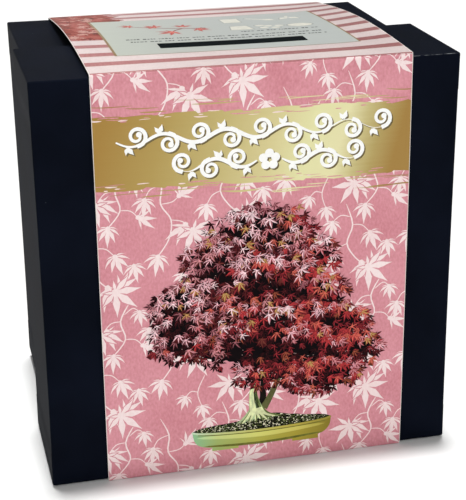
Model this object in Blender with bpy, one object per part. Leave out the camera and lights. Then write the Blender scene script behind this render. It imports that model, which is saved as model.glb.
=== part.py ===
"""Square telescoping gift box with a printed card sleeve, standing on its edge.

The lid's square panel faces -Y, the base tray runs back from inside it, and the
sleeve goes round front, top, back and underside. It slides off along X.
Frame: metres, +Z up, the origin on the ground under the middle of the object.
"""

import math

import bmesh
import bpy

MM = 0.001

# Driving dimensions of the box
LID_SIDE = 150.0 * MM  # outside width and height of the lid
LID_DEPTH = 50.0 * MM  # how far the lid reaches back
BOX_DEPTH = 115.0 * MM  # lid's panel to the base's panel, outside
BOARD = 3.0 * MM  # greyboard with its wrapping paper on both faces
SLIP = 0.6 * MM  # play between lid and base, each side
EDGE_ROUND = 0.7 * MM  # rounding where the paper is wrapped over an edge
EDGE_STEPS = 2

# Driving dimensions of the card sleeve
CARD = 0.4 * MM
SLEEVE_WIDTH = 112.0 * MM
SLEEVE_SHIFT = 1.2 * MM  # the sleeve sits this far right of the middle
CREASE_LIFT = 1.2 * MM  # front crease above the lid's top, at mid card
CREASE_LEG = 0.8 * MM  # a crease starts to turn this far before its corner
FRONT_CROWN = 0.5 * MM  # how far the front panel bows out
TOP_CROWN = 1.45 * MM  # how far the top panel bows up over the lid's step
EDGE_CURL = 1.5 * MM  # extra bow of the top panel at its two side edges
CURL_POWER = 1.5  # how steeply that bow grows towards an edge
LEFT_CURL_START = 15.0 * MM  # the left curl begins here, from the sleeve's middle
RIGHT_CURL_START = 36.0 * MM  # the right curl begins here
LAP_BOTTOM = 22.0 * MM  # glue lap on the back, height of its lower edge
LAP_TOP = 37.0 * MM
LAP_EASE = 3.0 * MM  # the outer layer eases down to the back over this height
LAP_STEP = 0.15 * MM  # run of the outer layer's cut edge
SLEEVE_STATIONS = 14  # cross-sections from the left edge to the right edge

GAP = 0.3 * MM  # clearance between pieces that touch

# Places that follow from the dimensions, measured from the lid's front face
LID_BOTTOM = CARD + GAP
LID_TOP = LID_BOTTOM + LID_SIDE
BASE_SIDE = LID_SIDE - 2.0 * (BOARD + SLIP)
BASE_BOTTOM = LID_BOTTOM + BOARD + GAP
BASE_TOP = BASE_BOTTOM + BASE_SIDE
BASE_FRONT = BOARD + GAP
BASE_DEPTH = BOX_DEPTH - BASE_FRONT
SLEEVE_FRONT = -(GAP + CARD + FRONT_CROWN)
SLEEVE_BACK = BOX_DEPTH + GAP + 2.0 * CARD
FRONT_FACE_Y = -(SLEEVE_FRONT + SLEEVE_BACK) / 2.0

BOX_BLACK = "#1C2024"
SLEEVE_PINK = "#E0969F"


def linear(hex_colour):
    """Linear RGBA of an sRGB hex colour."""
    levels = [int(hex_colour[i:i + 2], 16) / 255.0 for i in (1, 3, 5)]
    rgb = [v / 12.92 if v <= 0.04045 else ((v + 0.055) / 1.055) ** 2.4 for v in levels]
    return (*rgb, 1.0)


def make_material(name, hex_colour, roughness):
    """One plain paper finish."""
    material = bpy.data.materials.new(name)
    material.use_nodes = True
    shader = material.node_tree.nodes["Principled BSDF"]
    shader.inputs["Base Color"].default_value = linear(hex_colour)
    shader.inputs["Roughness"].default_value = roughness
    shader.inputs["Metallic"].default_value = 0.0
    return material


def add_object(name, mesh_data, location, material):
    """Close a bmesh into a named, smooth-shaded object."""
    bmesh.ops.recalc_face_normals(mesh_data, faces=mesh_data.faces)
    mesh = bpy.data.meshes.new(name)
    mesh_data.to_mesh(mesh)
    mesh_data.free()
    mesh.shade_smooth()
    mesh.set_sharp_from_angle(angle=math.radians(30.0))
    mesh.materials.append(material)
    piece = bpy.data.objects.new(name, mesh)
    piece.location = location
    bpy.context.scene.collection.objects.link(piece)
    return piece


def round_edges(piece):
    """Round a board tray's edges."""
    bevel = piece.modifiers.new("wrapped_edges", "BEVEL")
    bevel.width = EDGE_ROUND
    bevel.segments = EDGE_STEPS
    bevel.limit_method = "ANGLE"


def add_tray(name, side, depth, open_towards, location, material):
    """A square tray of board, open on its +Y side (1) or its -Y side (-1)."""
    tray = bmesh.new()
    bmesh.ops.create_cube(tray, size=1.0)
    bmesh.ops.scale(tray, vec=(side, depth, side), verts=tray.verts)
    tray.normal_update()
    mouth = [face for face in tray.faces if face.normal.y * open_towards > 0.5]
    bmesh.ops.inset_region(tray, faces=mouth, thickness=BOARD, use_even_offset=True)
    hollow = bmesh.ops.extrude_discrete_faces(tray, faces=mouth)
    floor_verts = hollow["faces"][0].verts
    bmesh.ops.translate(tray, verts=floor_verts, vec=(0.0, -open_towards * (depth - BOARD), 0.0))
    piece = add_object(name, tray, location, material)
    round_edges(piece)
    return piece


def build_lid(material):
    """The lid, a shallow tray whose panel is the front of the box."""
    centre = (0.0, FRONT_FACE_Y + LID_DEPTH / 2.0, LID_BOTTOM + LID_SIDE / 2.0)
    return add_tray("lid", LID_SIDE, LID_DEPTH, 1, centre, material)


def build_base(material):
    """The base, a deep tray that stands in the lid and shows behind it."""
    centre = (0.0, FRONT_FACE_Y + BASE_FRONT + BASE_DEPTH / 2.0, BASE_BOTTOM + BASE_SIDE / 2.0)
    return add_tray("base", BASE_SIDE, BASE_DEPTH, -1, centre, material)


def panel(start, end, crown, stops):
    """Points (y, z) along one sleeve panel at the given shares of its length."""
    run = (end[0] - start[0], end[1] - start[1])
    length = math.hypot(*run)
    outward = (-run[1] / length, run[0] / length)
    points = []
    for stop in stops:
        bow = crown * math.sin(math.pi * stop)
        points.append((start[0] + run[0] * stop + outward[0] * bow,
                       start[1] + run[1] * stop + outward[1] * bow))
    return points


def even_stops(length, count):
    """Shares of a panel's length, from one crease's end to the next one's start."""
    margin = CREASE_LEG / length
    return [margin + (1.0 - 2.0 * margin) * i / (count - 1) for i in range(count)]


def crease(before, corner, after):
    """Two points that turn the card round a corner, between two panels' ends."""
    points = []
    for share in (1.0 / 3.0, 2.0 / 3.0):
        weights = ((1.0 - share) ** 2, 2.0 * share * (1.0 - share), share ** 2)
        points.append(tuple(weights[0] * before[k] + weights[1] * corner[k] + weights[2] * after[k]
                            for k in (0, 1)))
    return points


def lap_layers(height):
    """How many extra card layers lie on the back panel at a height, 0 to 1."""
    if height < LAP_BOTTOM:
        return 0.0
    if height < LAP_BOTTOM + LAP_STEP:
        return (height - LAP_BOTTOM) / LAP_STEP
    return min(1.0, max(0.0, 1.0 - (height - LAP_TOP) / LAP_EASE))


def top_crown(x):
    """How far the top panel bows up at x, most at its side edges."""
    half = SLEEVE_WIDTH / 2.0
    left = max(0.0, (LEFT_CURL_START - x) / (LEFT_CURL_START + half))
    right = max(0.0, (x - RIGHT_CURL_START) / (half - RIGHT_CURL_START))
    return TOP_CROWN + EDGE_CURL * (left ** CURL_POWER + right ** CURL_POWER)


def sleeve_section(x):
    """Mid-card loop of (y, z, extra layers) at x, up the front and over the top."""
    half = CARD / 2.0
    front_y = -(GAP + half)
    back_y = BOX_DEPTH + GAP + half
    corners = [(front_y, half), (front_y, LID_TOP + CREASE_LIFT),
               (back_y, BASE_TOP + GAP + half), (back_y, half)]
    back_height = corners[2][1] - corners[3][1]
    lap_heights = (LAP_TOP + LAP_EASE, LAP_TOP, LAP_BOTTOM + LAP_STEP, LAP_BOTTOM)
    lap_stops = [1.0 - (height - half) / back_height for height in lap_heights]
    back_stops = sorted(even_stops(back_height, 4) + lap_stops)
    panels = [
        panel(corners[0], corners[1], FRONT_CROWN, even_stops(LID_SIDE, 9)),
        panel(corners[1], corners[2], top_crown(x), even_stops(BOX_DEPTH, 17)),
        panel(corners[2], corners[3], 0.0, back_stops),
        panel(corners[3], corners[0], 0.0, even_stops(BOX_DEPTH, 3)),
    ]
    loop = []
    for i, points in enumerate(panels):
        for y, z in points:
            loop.append((y, z, lap_layers(z) if i == 2 else 0.0))
        after = panels[(i + 1) % 4]
        for y, z in crease(points[-1], corners[(i + 1) % 4], after[0]):
            loop.append((y, z, 0.0))
    return loop


def offset_loop(loop, side):
    """The card's outer face (side 1) or inner face (side -1) from its mid loop."""
    points = []
    for i, (y, z, layers) in enumerate(loop):
        ahead = loop[(i + 1) % len(loop)]
        behind = loop[i - 1]
        run = (ahead[0] - behind[0], ahead[1] - behind[1])
        length = math.hypot(*run)
        shift = side * CARD / 2.0
        if side > 0:
            shift += layers * CARD
        points.append((y - run[1] / length * shift, z + run[0] / length * shift))
    return points


def build_sleeve(material):
    """The card sleeve, one band with its glue lap on the back."""
    band = bmesh.new()
    centre = (SLEEVE_SHIFT, 0.0, LID_BOTTOM + LID_SIDE / 2.0)
    rings = []
    for station in range(SLEEVE_STATIONS):
        x = SLEEVE_WIDTH * (station / (SLEEVE_STATIONS - 1) - 0.5)
        loop = sleeve_section(x)
        ring = []
        for side in (1, -1):
            ring.append([band.verts.new((x, FRONT_FACE_Y + y, z - centre[2]))
                         for y, z in offset_loop(loop, side)])
        rings.append(ring)
    count = len(rings[0][0])
    for i in range(count):
        j = (i + 1) % count
        for left, right in zip(rings, rings[1:]):
            for side in (0, 1):
                band.faces.new((left[side][i], left[side][j], right[side][j], right[side][i]))
        for end in (rings[0], rings[-1]):
            band.faces.new((end[0][i], end[0][j], end[1][j], end[1][i]))
    return add_object("sleeve", band, centre, material)


def clear_scene():
    """Remove whatever the scene holds."""
    for item in list(bpy.context.scene.objects):
        bpy.data.objects.remove(item, do_unlink=True)


def main():
    """Build the lid, the base and the sleeve."""
    clear_scene()
    build_lid(make_material("soft_touch_black_lid", BOX_BLACK, 0.55))
    build_base(make_material("soft_touch_black_base", BOX_BLACK, 0.55))
    build_sleeve(make_material("coated_art_card", SLEEVE_PINK, 0.4))


main()
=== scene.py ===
"""Looks of a boxed bonsai growing kit: a black gift box held in a printed card sleeve.

The lid and the base are trays of greyboard wrapped in soft-touch black paper. The sleeve
is white-backed art card, printed pink with pale maple leaves, a torn gold band with a
white scroll, a small bonsai picture and a striped top with a label.
Sizes are in metres, +Z up. The flat shapes of the print and the textures of the finishes
are in millimetres.
"""

import logging
import math
import random
from collections.abc import Callable, Iterable, Sequence
from dataclasses import dataclass, replace
from enum import Enum, IntEnum
from functools import cached_property
from typing import Any, Protocol

import bmesh
import bpy
import numpy as np
from mathutils import Matrix, Vector, noise
from mathutils.geometry import delaunay_2d_cdt, tessellate_polygon


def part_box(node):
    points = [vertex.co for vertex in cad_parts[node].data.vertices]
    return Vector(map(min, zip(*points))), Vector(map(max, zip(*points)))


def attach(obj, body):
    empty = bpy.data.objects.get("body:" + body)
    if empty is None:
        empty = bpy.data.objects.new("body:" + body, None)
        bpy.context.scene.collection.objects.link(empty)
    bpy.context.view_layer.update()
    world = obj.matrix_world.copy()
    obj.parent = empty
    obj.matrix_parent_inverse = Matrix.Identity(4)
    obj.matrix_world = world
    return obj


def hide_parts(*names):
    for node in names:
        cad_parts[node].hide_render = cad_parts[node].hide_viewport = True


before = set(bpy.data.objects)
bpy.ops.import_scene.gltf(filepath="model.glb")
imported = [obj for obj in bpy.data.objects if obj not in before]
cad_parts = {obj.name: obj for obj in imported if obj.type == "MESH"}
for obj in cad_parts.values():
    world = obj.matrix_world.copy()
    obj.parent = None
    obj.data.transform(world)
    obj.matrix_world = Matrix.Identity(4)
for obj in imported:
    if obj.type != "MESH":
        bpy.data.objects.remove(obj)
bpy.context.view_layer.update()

MM = 0.001
LOG = logging.getLogger("boxed_kit")

SHARP_EDGE = math.radians(30.0)
# The top panel is twisted, so film laid on it needs a grid this fine to stay above the ground.
TOP_STEP = 2.5
PINK_INK = ("#CC808A", "#DE97A1")

Point = tuple[float, float]
Shape = list[Point]
Socket = bpy.types.NodeSocket


# Shader helpers


def linear(hex_colour: str) -> tuple[float, float, float, float]:
    """Turn an sRGB hex colour into linear RGBA.

    Args:
        hex_colour: the colour as "#RRGGBB".

    Returns:
        Linear red, green, blue and an alpha of one.
    """
    levels = [int(hex_colour[i:i + 2], 16) / 255.0 for i in (1, 3, 5)]
    rgb = [v / 12.92 if v <= 0.04045 else ((v + 0.055) / 1.055) ** 2.4 for v in levels]
    return (*rgb, 1.0)


def per_mm(size: float) -> float:
    """Texture scale that repeats about every `size` millimetres."""
    return 1.0 / (size * MM)


def add_node(tree: bpy.types.NodeTree, kind: str, inputs: dict[Any, Any]) -> bpy.types.Node:
    """Add one shader node, set it up and link its inputs.

    Args:
        tree: the node tree that gets the node.
        kind: the node's Blender identifier, without its "ShaderNode".
        inputs: values or source sockets by input name or number, and values by attribute
            name. The name "stops" takes a colour ramp's (position, hex colour) pairs.

    Returns:
        The new node.
    """
    node = tree.nodes.new(f"ShaderNode{kind}")
    for key, value in inputs.items():
        if key == "stops":
            ramp = node.color_ramp.elements
            while len(ramp) < len(value):
                ramp.new(1.0)
            for element, (position, colour) in zip(ramp, value):
                element.position = position
                element.color = linear(colour)
        elif isinstance(value, Socket):
            tree.links.new(value, node.inputs[key])
        elif isinstance(key, int) or key in node.inputs:
            node.inputs[key].default_value = value
        else:
            setattr(node, key, value)
    return node


class MaterialGraph:
    """A material under construction, with the few kinds of node that the finishes share.

    Attributes:
        material: the material.
        tree: its node tree.
        shader: its Principled shader.
        place: the object coordinates, in metres.
    """

    def __init__(self, name: str, specular: float, roughness: float, ior: float = 1.5) -> None:
        """Start a material whose shader holds plain values.

        Args:
            name: the material's name.
            specular: level of its specular reflection.
            roughness: its roughness, which a texture may take over.
            ior: its index of refraction, which is 1.5 for most binders and coatings.
        """
        self.material = bpy.data.materials.new(name)
        self.material.use_nodes = True
        self.tree = self.material.node_tree
        self.shader = self.tree.nodes["Principled BSDF"]
        for key, value in (("Specular IOR Level", specular), ("Roughness", roughness),
                           ("IOR", ior)):
            self.shader.inputs[key].default_value = value
        self.place = add_node(self.tree, "TexCoord", {}).outputs["Object"]

    def add(self, kind: str, inputs: dict[Any, Any], output: int = 0) -> Socket:
        """Add a node and give one of its outputs."""
        return add_node(self.tree, kind, inputs).outputs[output]

    def axes(self) -> Sequence[Socket]:
        """The object coordinates along x, y and z."""
        return add_node(self.tree, "SeparateXYZ", {0: self.place}).outputs

    def noise(self, size: float, detail: float) -> Socket:
        """Noise with clouds of about a size in millimetres."""
        return self.add("TexNoise", {"Scale": per_mm(size), "Detail": detail,
                                     "Vector": self.place})

    def drawn_noise(self, sizes: Sequence[float], detail: float) -> Socket:
        """Noise drawn out to sizes along x, y and z, in millimetres.

        Args:
            sizes: size of its clouds along each axis.
            detail: how many finer layers it has.

        Returns:
            The noise.
        """
        scales = [per_mm(size) for size in sizes]
        drawn = self.add("VectorMath", {"operation": "MULTIPLY", 0: self.place, 1: scales})
        return self.add("TexNoise", {"Scale": 1.0, "Detail": detail, "Vector": drawn})

    def math(self, operation: str, *terms: Socket | float) -> Socket:
        """The result of a math operation on sockets or numbers."""
        return self.add("Math", {"operation": operation, **dict(enumerate(terms))})

    def mapped(self, source: Socket, start: float = 0.0, end: float = 1.0,
               low: float = 0.0, high: float = 1.0) -> Socket:
        """A value led from between start and end to between low and high."""
        return self.add("MapRange", {0: source, 1: start, 2: end, 3: low, 4: high})

    def ramp(self, share: Socket, stops: Sequence[tuple[float, str]]) -> Socket:
        """A colour by share, between (position, hex colour) stops."""
        return self.add("ValToRGB", {"stops": stops, 0: share})

    def mixed(self, share: Socket, first: Any, second: Any) -> Socket:
        """Two colours mixed by share, each one a socket or linear RGBA."""
        return self.add("Mix", {"data_type": "RGBA", 0: share, 6: first, 7: second}, 2)

    def relief(self, height: Socket, strength: float, depth: float,
               under: Socket | None = None) -> Socket:
        """A bump that is a depth in millimetres deep, over another one if there is one."""
        links = {"Height": height} if under is None else {"Height": height, "Normal": under}
        return self.add("Bump", {"Strength": strength, "Distance": depth * MM, **links})

    def finished(self, colour: Socket, roughness: Socket | None = None,
                 normal: Socket | None = None) -> bpy.types.Material:
        """Link textures to the shader and hand over the material.

        Args:
            colour: source of the base colour.
            roughness: source of the roughness, or None for a plain one.
            normal: source of the relief, or None for a flat face.

        Returns:
            The finished material.
        """
        for key, socket in (("Base Color", colour), ("Roughness", roughness), ("Normal", normal)):
            if socket is not None:
                self.tree.links.new(socket, self.shader.inputs[key])
        return self.material


# Finishes


@dataclass(frozen=True)
class SoftTouchPaper:
    """Black wrapping paper laminated with a soft-touch film.

    The film is a matt polypropylene, so highlights spread wide and stay faint, the blacks
    lean a little to blue, and dust shows up paler than the sheet. A broken pale line along the
    front's top edge is wear of the film together with a painted highlight of that edge.
    """

    name: str
    deep: str = "#070B15"
    soft: str = "#0B101C"
    # Pale edge mark: wear of the film, and a painted highlight of the rounded edge.
    rubbed_and_highlit: str = "#8C8F90"
    dust: str = "#4A4F55"
    roughness: float = 0.66
    film_ior: float = 1.49
    specular: float = 0.024
    fibre_size: float = 0.5
    cloud_size: float = 28.0
    dust_spacing: float = 7.0
    speck_size: float = 0.028
    dust_free: float = 0.75
    # Size and breaks of the pale edge mark, wear with a painted highlight.
    rub_and_highlight_width: float = 0.35
    rub_and_highlight_depth: float = 0.5
    rub_and_highlight_start: float = 56.0
    rub_and_highlight_spacing: float = 3.0

    def material(self, lowest: Vector, highest: Vector) -> bpy.types.Material:
        """Make the paper for one tray.

        Args:
            lowest: the tray's lowest corner, which places the edge mark of wear and painted highlight.
            highest: the tray's highest corner.

        Returns:
            The finished material.
        """
        graph = MaterialGraph(self.name, self.specular, self.roughness, self.film_ior)
        clouds = graph.noise(self.cloud_size, 3.0)
        sheet = graph.ramp(clouds, ((0.35, self.deep), (0.65, self.soft)))
        dusty = graph.mixed(self.dust_mask(graph), sheet, linear(self.dust))
        # Mix in the pale edge mark: wear of the film with a painted highlight of the rounded edge.
        worn_and_highlit = graph.mixed(self.rub_and_highlight_mask(graph, lowest, highest), dusty, linear(self.rubbed_and_highlit))
        # Real film tooth is near 0.1 mm. It is drawn as coarse as fibre_size to show.
        tooth = graph.noise(self.fibre_size, 4.0)
        rough = graph.mapped(tooth, low=self.roughness - 0.06, high=self.roughness + 0.08)
        board = graph.relief(clouds, 0.5, 0.12, under=graph.relief(tooth, 0.25, 0.02))
        return graph.finished(worn_and_highlit, rough, board)

    def dust_mask(self, graph: MaterialGraph) -> Socket:
        """Sparse specks of dust, one cell in four holding one.

        Args:
            graph: the paper under construction.

        Returns:
            A socket that is one on a speck and zero elsewhere.
        """
        cells = add_node(graph.tree, "TexVoronoi", {"Scale": per_mm(self.dust_spacing),
                                                    "Vector": graph.place})
        near = graph.math("LESS_THAN", cells.outputs["Distance"], self.speck_size)
        chosen = graph.math("GREATER_THAN", cells.outputs["Color"], self.dust_free)
        return graph.math("MULTIPLY", near, chosen)

    def rub_and_highlight_mask(self, graph: MaterialGraph, lowest: Vector, highest: Vector) -> Socket:
        """A broken mark of film wear and painted highlight along the top front edge's right end.

        Args:
            graph: the paper under construction.
            lowest: the tray's lowest corner.
            highest: the tray's highest corner.

        Returns:
            A socket that is one on the marked stretch of the edge, wear and painted highlight.
        """
        across, back, height = graph.axes()
        reach = self.rub_and_highlight_width * MM
        front = graph.math("LESS_THAN", back, lowest.y + reach)
        top = graph.math("GREATER_THAN", height, highest.z - reach)
        right = graph.math("GREATER_THAN", across, self.rub_and_highlight_start * MM)
        edge = graph.math("MULTIPLY", graph.math("MULTIPLY", front, top), right)
        breaks = graph.noise(self.rub_and_highlight_spacing, 3.0)
        worn_and_highlit = graph.mapped(breaks, 0.44, 0.6, high=self.rub_and_highlight_depth)
        return graph.math("MULTIPLY", edge, worn_and_highlit)


@dataclass(frozen=True)
class MottledInk:
    """Offset ink with a washi-like mottle, on matt coated card.

    The ink lies in short soft streaks along the band, with wider clouds under them, and
    the coating keeps a broad, low sheen. It may be darkened towards the right edge, as
    painted shade where the card curls away from the light.
    """

    name: str
    shade: str
    light: str
    streak_width: float = 0.8
    streak_length: float = 1.3
    cloud_size: float = 16.0
    cloud_share: float = 0.4
    roughness: float = 0.46
    specular: float = 0.3
    # How much darker the ink is printed to the right, and over which stretch: painted shade.
    painted_shade_right: float = 0.0
    painted_shade_from: float = -10.0
    painted_shade_to: float = 57.0

    def material(self) -> bpy.types.Material:
        """Make the ink.

        Returns:
            The finished material.
        """
        graph = MaterialGraph(self.name, self.specular, self.roughness)
        streaks = graph.drawn_noise((self.streak_width, self.streak_length, self.streak_length),
                                    4.0)
        clouds = graph.noise(self.cloud_size, 2.0)
        blend = graph.add("Mix", {"data_type": "FLOAT", 0: self.cloud_share, 2: streaks,
                                  3: clouds})
        tone = graph.ramp(blend, ((0.36, self.shade), (0.64, self.light)))
        # Painted shade: darker towards the right edge, where the card curls away from the light.
        shade_weight = graph.mapped(graph.axes()[0], self.painted_shade_from * MM, self.painted_shade_to * MM,
                              1.0, 1.0 - self.painted_shade_right)
        shaded_tone = graph.add("VectorMath", {"operation": "SCALE", 0: tone, "Scale": shade_weight})
        rough = graph.mapped(streaks, low=self.roughness + 0.05, high=self.roughness - 0.05)
        return graph.finished(shaded_tone, rough, graph.relief(streaks, 0.2, 0.03))


@dataclass(frozen=True)
class PrintedInk:
    """One plain offset ink of the picture, the ornament or the label.

    Each small shape is one spot of ink, a little uneven as a dry halftone is. The card's
    tooth under it breaks up the sheen, and deep inks are kept matt so that they stay dark.
    """

    name: str
    colour: str
    roughness: float = 0.45
    specular: float = 0.3
    uneven: float = 0.06
    spot_size: float = 1.6
    tooth_size: float = 0.6

    def material(self) -> bpy.types.Material:
        """Make the ink.

        Returns:
            The finished material.
        """
        graph = MaterialGraph(self.name, self.specular, self.roughness)
        share = graph.mapped(graph.noise(self.spot_size, 1.0), 0.35, 0.65)
        thick, thin = (Vector(linear(self.colour)) * (1.0 + change)
                       for change in (-self.uneven, self.uneven))
        # The coating's tooth is about 0.05 mm. It is drawn as coarse as tooth_size to show.
        tooth = graph.noise(self.tooth_size, 2.0)
        return graph.finished(graph.mixed(share, thick, thin),
                              normal=graph.relief(tooth, 0.2, 0.02))


@dataclass(frozen=True)
class GradientInk:
    """Ink that fades from tone to tone across the box, with faint drawn brush lines.

    The band imitates brushed gold leaf with pigment alone, so it has no metal gloss, and
    its light comes from the pale tone printed into it.
    """

    name: str
    stops: tuple[tuple[float, str], ...]
    reach: tuple[float, float]
    slant: float = 0.0
    slant_height: float = 123.0
    brush_width: float = 0.9
    brush_length: float = 60.0
    brush_depth: float = 0.03
    roughness: float = 0.4
    specular: float = 0.35

    def material(self) -> bpy.types.Material:
        """Make the ink.

        Returns:
            The finished material.
        """
        graph = MaterialGraph(self.name, self.specular, self.roughness)
        across, _, height = graph.axes()
        brush = graph.drawn_noise((self.brush_length, self.brush_width, self.brush_width), 4.0)
        shifted = graph.math("MULTIPLY_ADD", height, -self.slant, across)
        offset = -self.slant * self.slant_height
        start, end = self.reach
        share = graph.mapped(shifted, (start + offset) * MM, (end + offset) * MM)
        lines = graph.math("MULTIPLY_ADD", brush, self.brush_depth, share)
        stops = tuple(((x - start) / (end - start) + self.brush_depth / 2.0, colour)
                      for x, colour in self.stops)
        rough = graph.mapped(brush, low=self.roughness + 0.08, high=self.roughness - 0.06)
        return graph.finished(graph.ramp(lines, stops), rough, graph.relief(brush, 0.25, 0.02))


@dataclass(frozen=True)
class BleachedBoard:
    """White-backed folding board, uncoated inside and bare at its cut edges.

    Bleached pulp is matt and slightly warm, with fine fibres and a few darker flecks.
    """

    name: str = "bleached_folding_board"
    white: str = "#F1EEE8"
    fibre: str = "#DDD8CF"
    roughness: float = 0.85
    specular: float = 0.35
    fibre_width: float = 0.35
    fibre_length: float = 2.6

    def material(self) -> bpy.types.Material:
        """Make the board.

        Returns:
            The finished material.
        """
        graph = MaterialGraph(self.name, self.specular, self.roughness)
        fibres = graph.drawn_noise((self.fibre_length, self.fibre_width, self.fibre_width), 5.0)
        tone = graph.ramp(fibres, ((0.3, self.fibre), (0.55, self.white)))
        rough = graph.mapped(fibres, low=self.roughness - 0.1, high=self.roughness + 0.05)
        return graph.finished(tone, rough, graph.relief(fibres, 0.4, 0.03))


@dataclass(frozen=True)
class StudioSweep:
    """Matt white painted studio floor."""

    name: str = "studio_floor_matt_white"
    light: str = "#F7F7F6"
    dull: str = "#F2F2F1"
    roughness: float = 0.9
    specular: float = 0.1
    cloud_size: float = 220.0

    def material(self) -> bpy.types.Material:
        """Make the floor's paint.

        Returns:
            The finished material.
        """
        graph = MaterialGraph(self.name, self.specular, self.roughness)
        clouds = graph.noise(self.cloud_size, 2.0)
        tone = graph.ramp(clouds, ((0.3, self.dull), (0.7, self.light)))
        return graph.finished(tone)


# Mesh helpers


def add_object(name: str, data: bpy.types.ID) -> bpy.types.Object:
    """Put a new object into the scene.

    Args:
        name: its name.
        data: its mesh, light or camera.

    Returns:
        The object.
    """
    item = bpy.data.objects.new(name, data)
    bpy.context.scene.collection.objects.link(item)
    return item


def new_piece(name: str, mesh: bpy.types.Mesh, material: bpy.types.Material,
              body: str) -> bpy.types.Object:
    """Put a mesh into the scene as a finished piece.

    Args:
        name: the piece's name.
        mesh: its mesh, in the frame's metres.
        material: its finish.
        body: the CAD body that it rides on.

    Returns:
        The piece.
    """
    mesh.materials.append(material)
    piece = add_object(name, mesh)
    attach(piece, body)
    LOG.info("%s: %d faces on %s", name, len(mesh.polygons), body)
    return piece


def smooth_mesh(name: str, points: Sequence[Sequence[float]],
                faces: Sequence[Sequence[int]]) -> bpy.types.Mesh:
    """A smooth-shaded mesh that keeps its real edges sharp.

    Args:
        name: the mesh's name.
        points: vertex positions in metres.
        faces: vertex numbers of each face.

    Returns:
        The mesh.
    """
    mesh = bpy.data.meshes.new(name)
    mesh.from_pydata(points, [], faces)
    mesh.validate()
    mesh.shade_smooth()
    mesh.set_sharp_from_angle(angle=SHARP_EDGE)
    return mesh


def close_shell(top: np.ndarray, bottom: np.ndarray,
                triangles: np.ndarray) -> tuple[np.ndarray, list[tuple[int, ...]]]:
    """Join a sheet's two faces and walls into a closed thin solid.

    Args:
        top: points of the upper face.
        bottom: the same points on the lower face.
        triangles: vertex numbers, anticlockwise seen from above.

    Returns:
        All points, and the faces of the solid.
    """
    count = len(top)
    edges = np.concatenate((triangles[:, [0, 1]], triangles[:, [1, 2]], triangles[:, [2, 0]]))
    forward = edges[:, 0] * count + edges[:, 1]
    backward = edges[:, 1] * count + edges[:, 0]
    rim = edges[~np.isin(forward, backward)]
    faces = [tuple(t) for t in triangles.tolist()]
    faces += [(c + count, b + count, a + count) for a, b, c in triangles.tolist()]
    faces += [(b, a, a + count, b + count) for a, b in rim.tolist()]
    return np.concatenate((top, bottom)), faces


# Flat shapes


def turned(shape: Iterable[Point], origin: Point, angle: float) -> Shape:
    """A shape turned about (0, 0) by an angle and moved to its origin.

    Args:
        shape: points in millimetres.
        origin: where (0, 0) goes.
        angle: turn in radians, anticlockwise.

    Returns:
        The moved shape.
    """
    cosine, sine = math.cos(angle), math.sin(angle)
    return [(origin[0] + x * cosine - y * sine, origin[1] + x * sine + y * cosine)
            for x, y in shape]


def moved(shapes: Iterable[Shape], offset: Point) -> list[Shape]:
    """Copies of shapes, moved by an offset in millimetres."""
    return [[(x + offset[0], y + offset[1]) for x, y in shape] for shape in shapes]


def rectangle(left: float, low: float, right: float, high: float) -> Shape:
    """A plain rectangle."""
    return [(left, low), (right, low), (right, high), (left, high)]


def ellipse(centre: Point, across: float, along: float, corners: int = 20) -> Shape:
    """An ellipse of the given half sizes."""
    turns = [2.0 * math.pi * i / corners for i in range(corners)]
    return [(centre[0] + across * math.cos(t), centre[1] + along * math.sin(t)) for t in turns]


def smooth_path(points: Sequence[Point], steps: int) -> list[Point]:
    """Points along a smooth curve through the given ones.

    Args:
        points: two or more points that the curve passes.
        steps: how many pieces each span is cut into.

    Returns:
        The curve's points, ends included.
    """
    padded = [points[0], *points, points[-1]]
    path = []
    for a, b, c, d in zip(padded, padded[1:], padded[2:], padded[3:]):
        for i in range(steps):
            t = i / steps
            path.append(tuple(
                0.5 * (2.0 * b[k] + (c[k] - a[k]) * t
                       + (2.0 * a[k] - 5.0 * b[k] + 4.0 * c[k] - d[k]) * t * t
                       + (3.0 * b[k] - a[k] - 3.0 * c[k] + d[k]) * t ** 3) for k in (0, 1)))
    path.append(tuple(points[-1]))
    return path


def ribbon(points: Sequence[Point], widths: Callable[[float], float], steps: int = 6) -> Shape:
    """A stroke of changing width along a smooth curve.

    Args:
        points: points that the stroke's middle passes.
        widths: full width at a share of the stroke's length, 0 to 1.
        steps: how many pieces each span is cut into.

    Returns:
        The stroke's outline.
    """
    path = smooth_path(points, steps)
    left, right = [], []
    for i, (x, y) in enumerate(path):
        ahead, behind = path[min(i + 1, len(path) - 1)], path[max(i - 1, 0)]
        run = (ahead[0] - behind[0], ahead[1] - behind[1])
        length = math.hypot(*run) or 1.0
        half = widths(i / (len(path) - 1)) / 2.0
        left.append((x - run[1] / length * half, y + run[0] / length * half))
        right.append((x + run[1] / length * half, y - run[0] / length * half))
    return right + left[::-1]


def taper(start: float, end: float) -> Callable[[float], float]:
    """A width that runs evenly from start to end."""
    return lambda share: start + (end - start) * share


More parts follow.
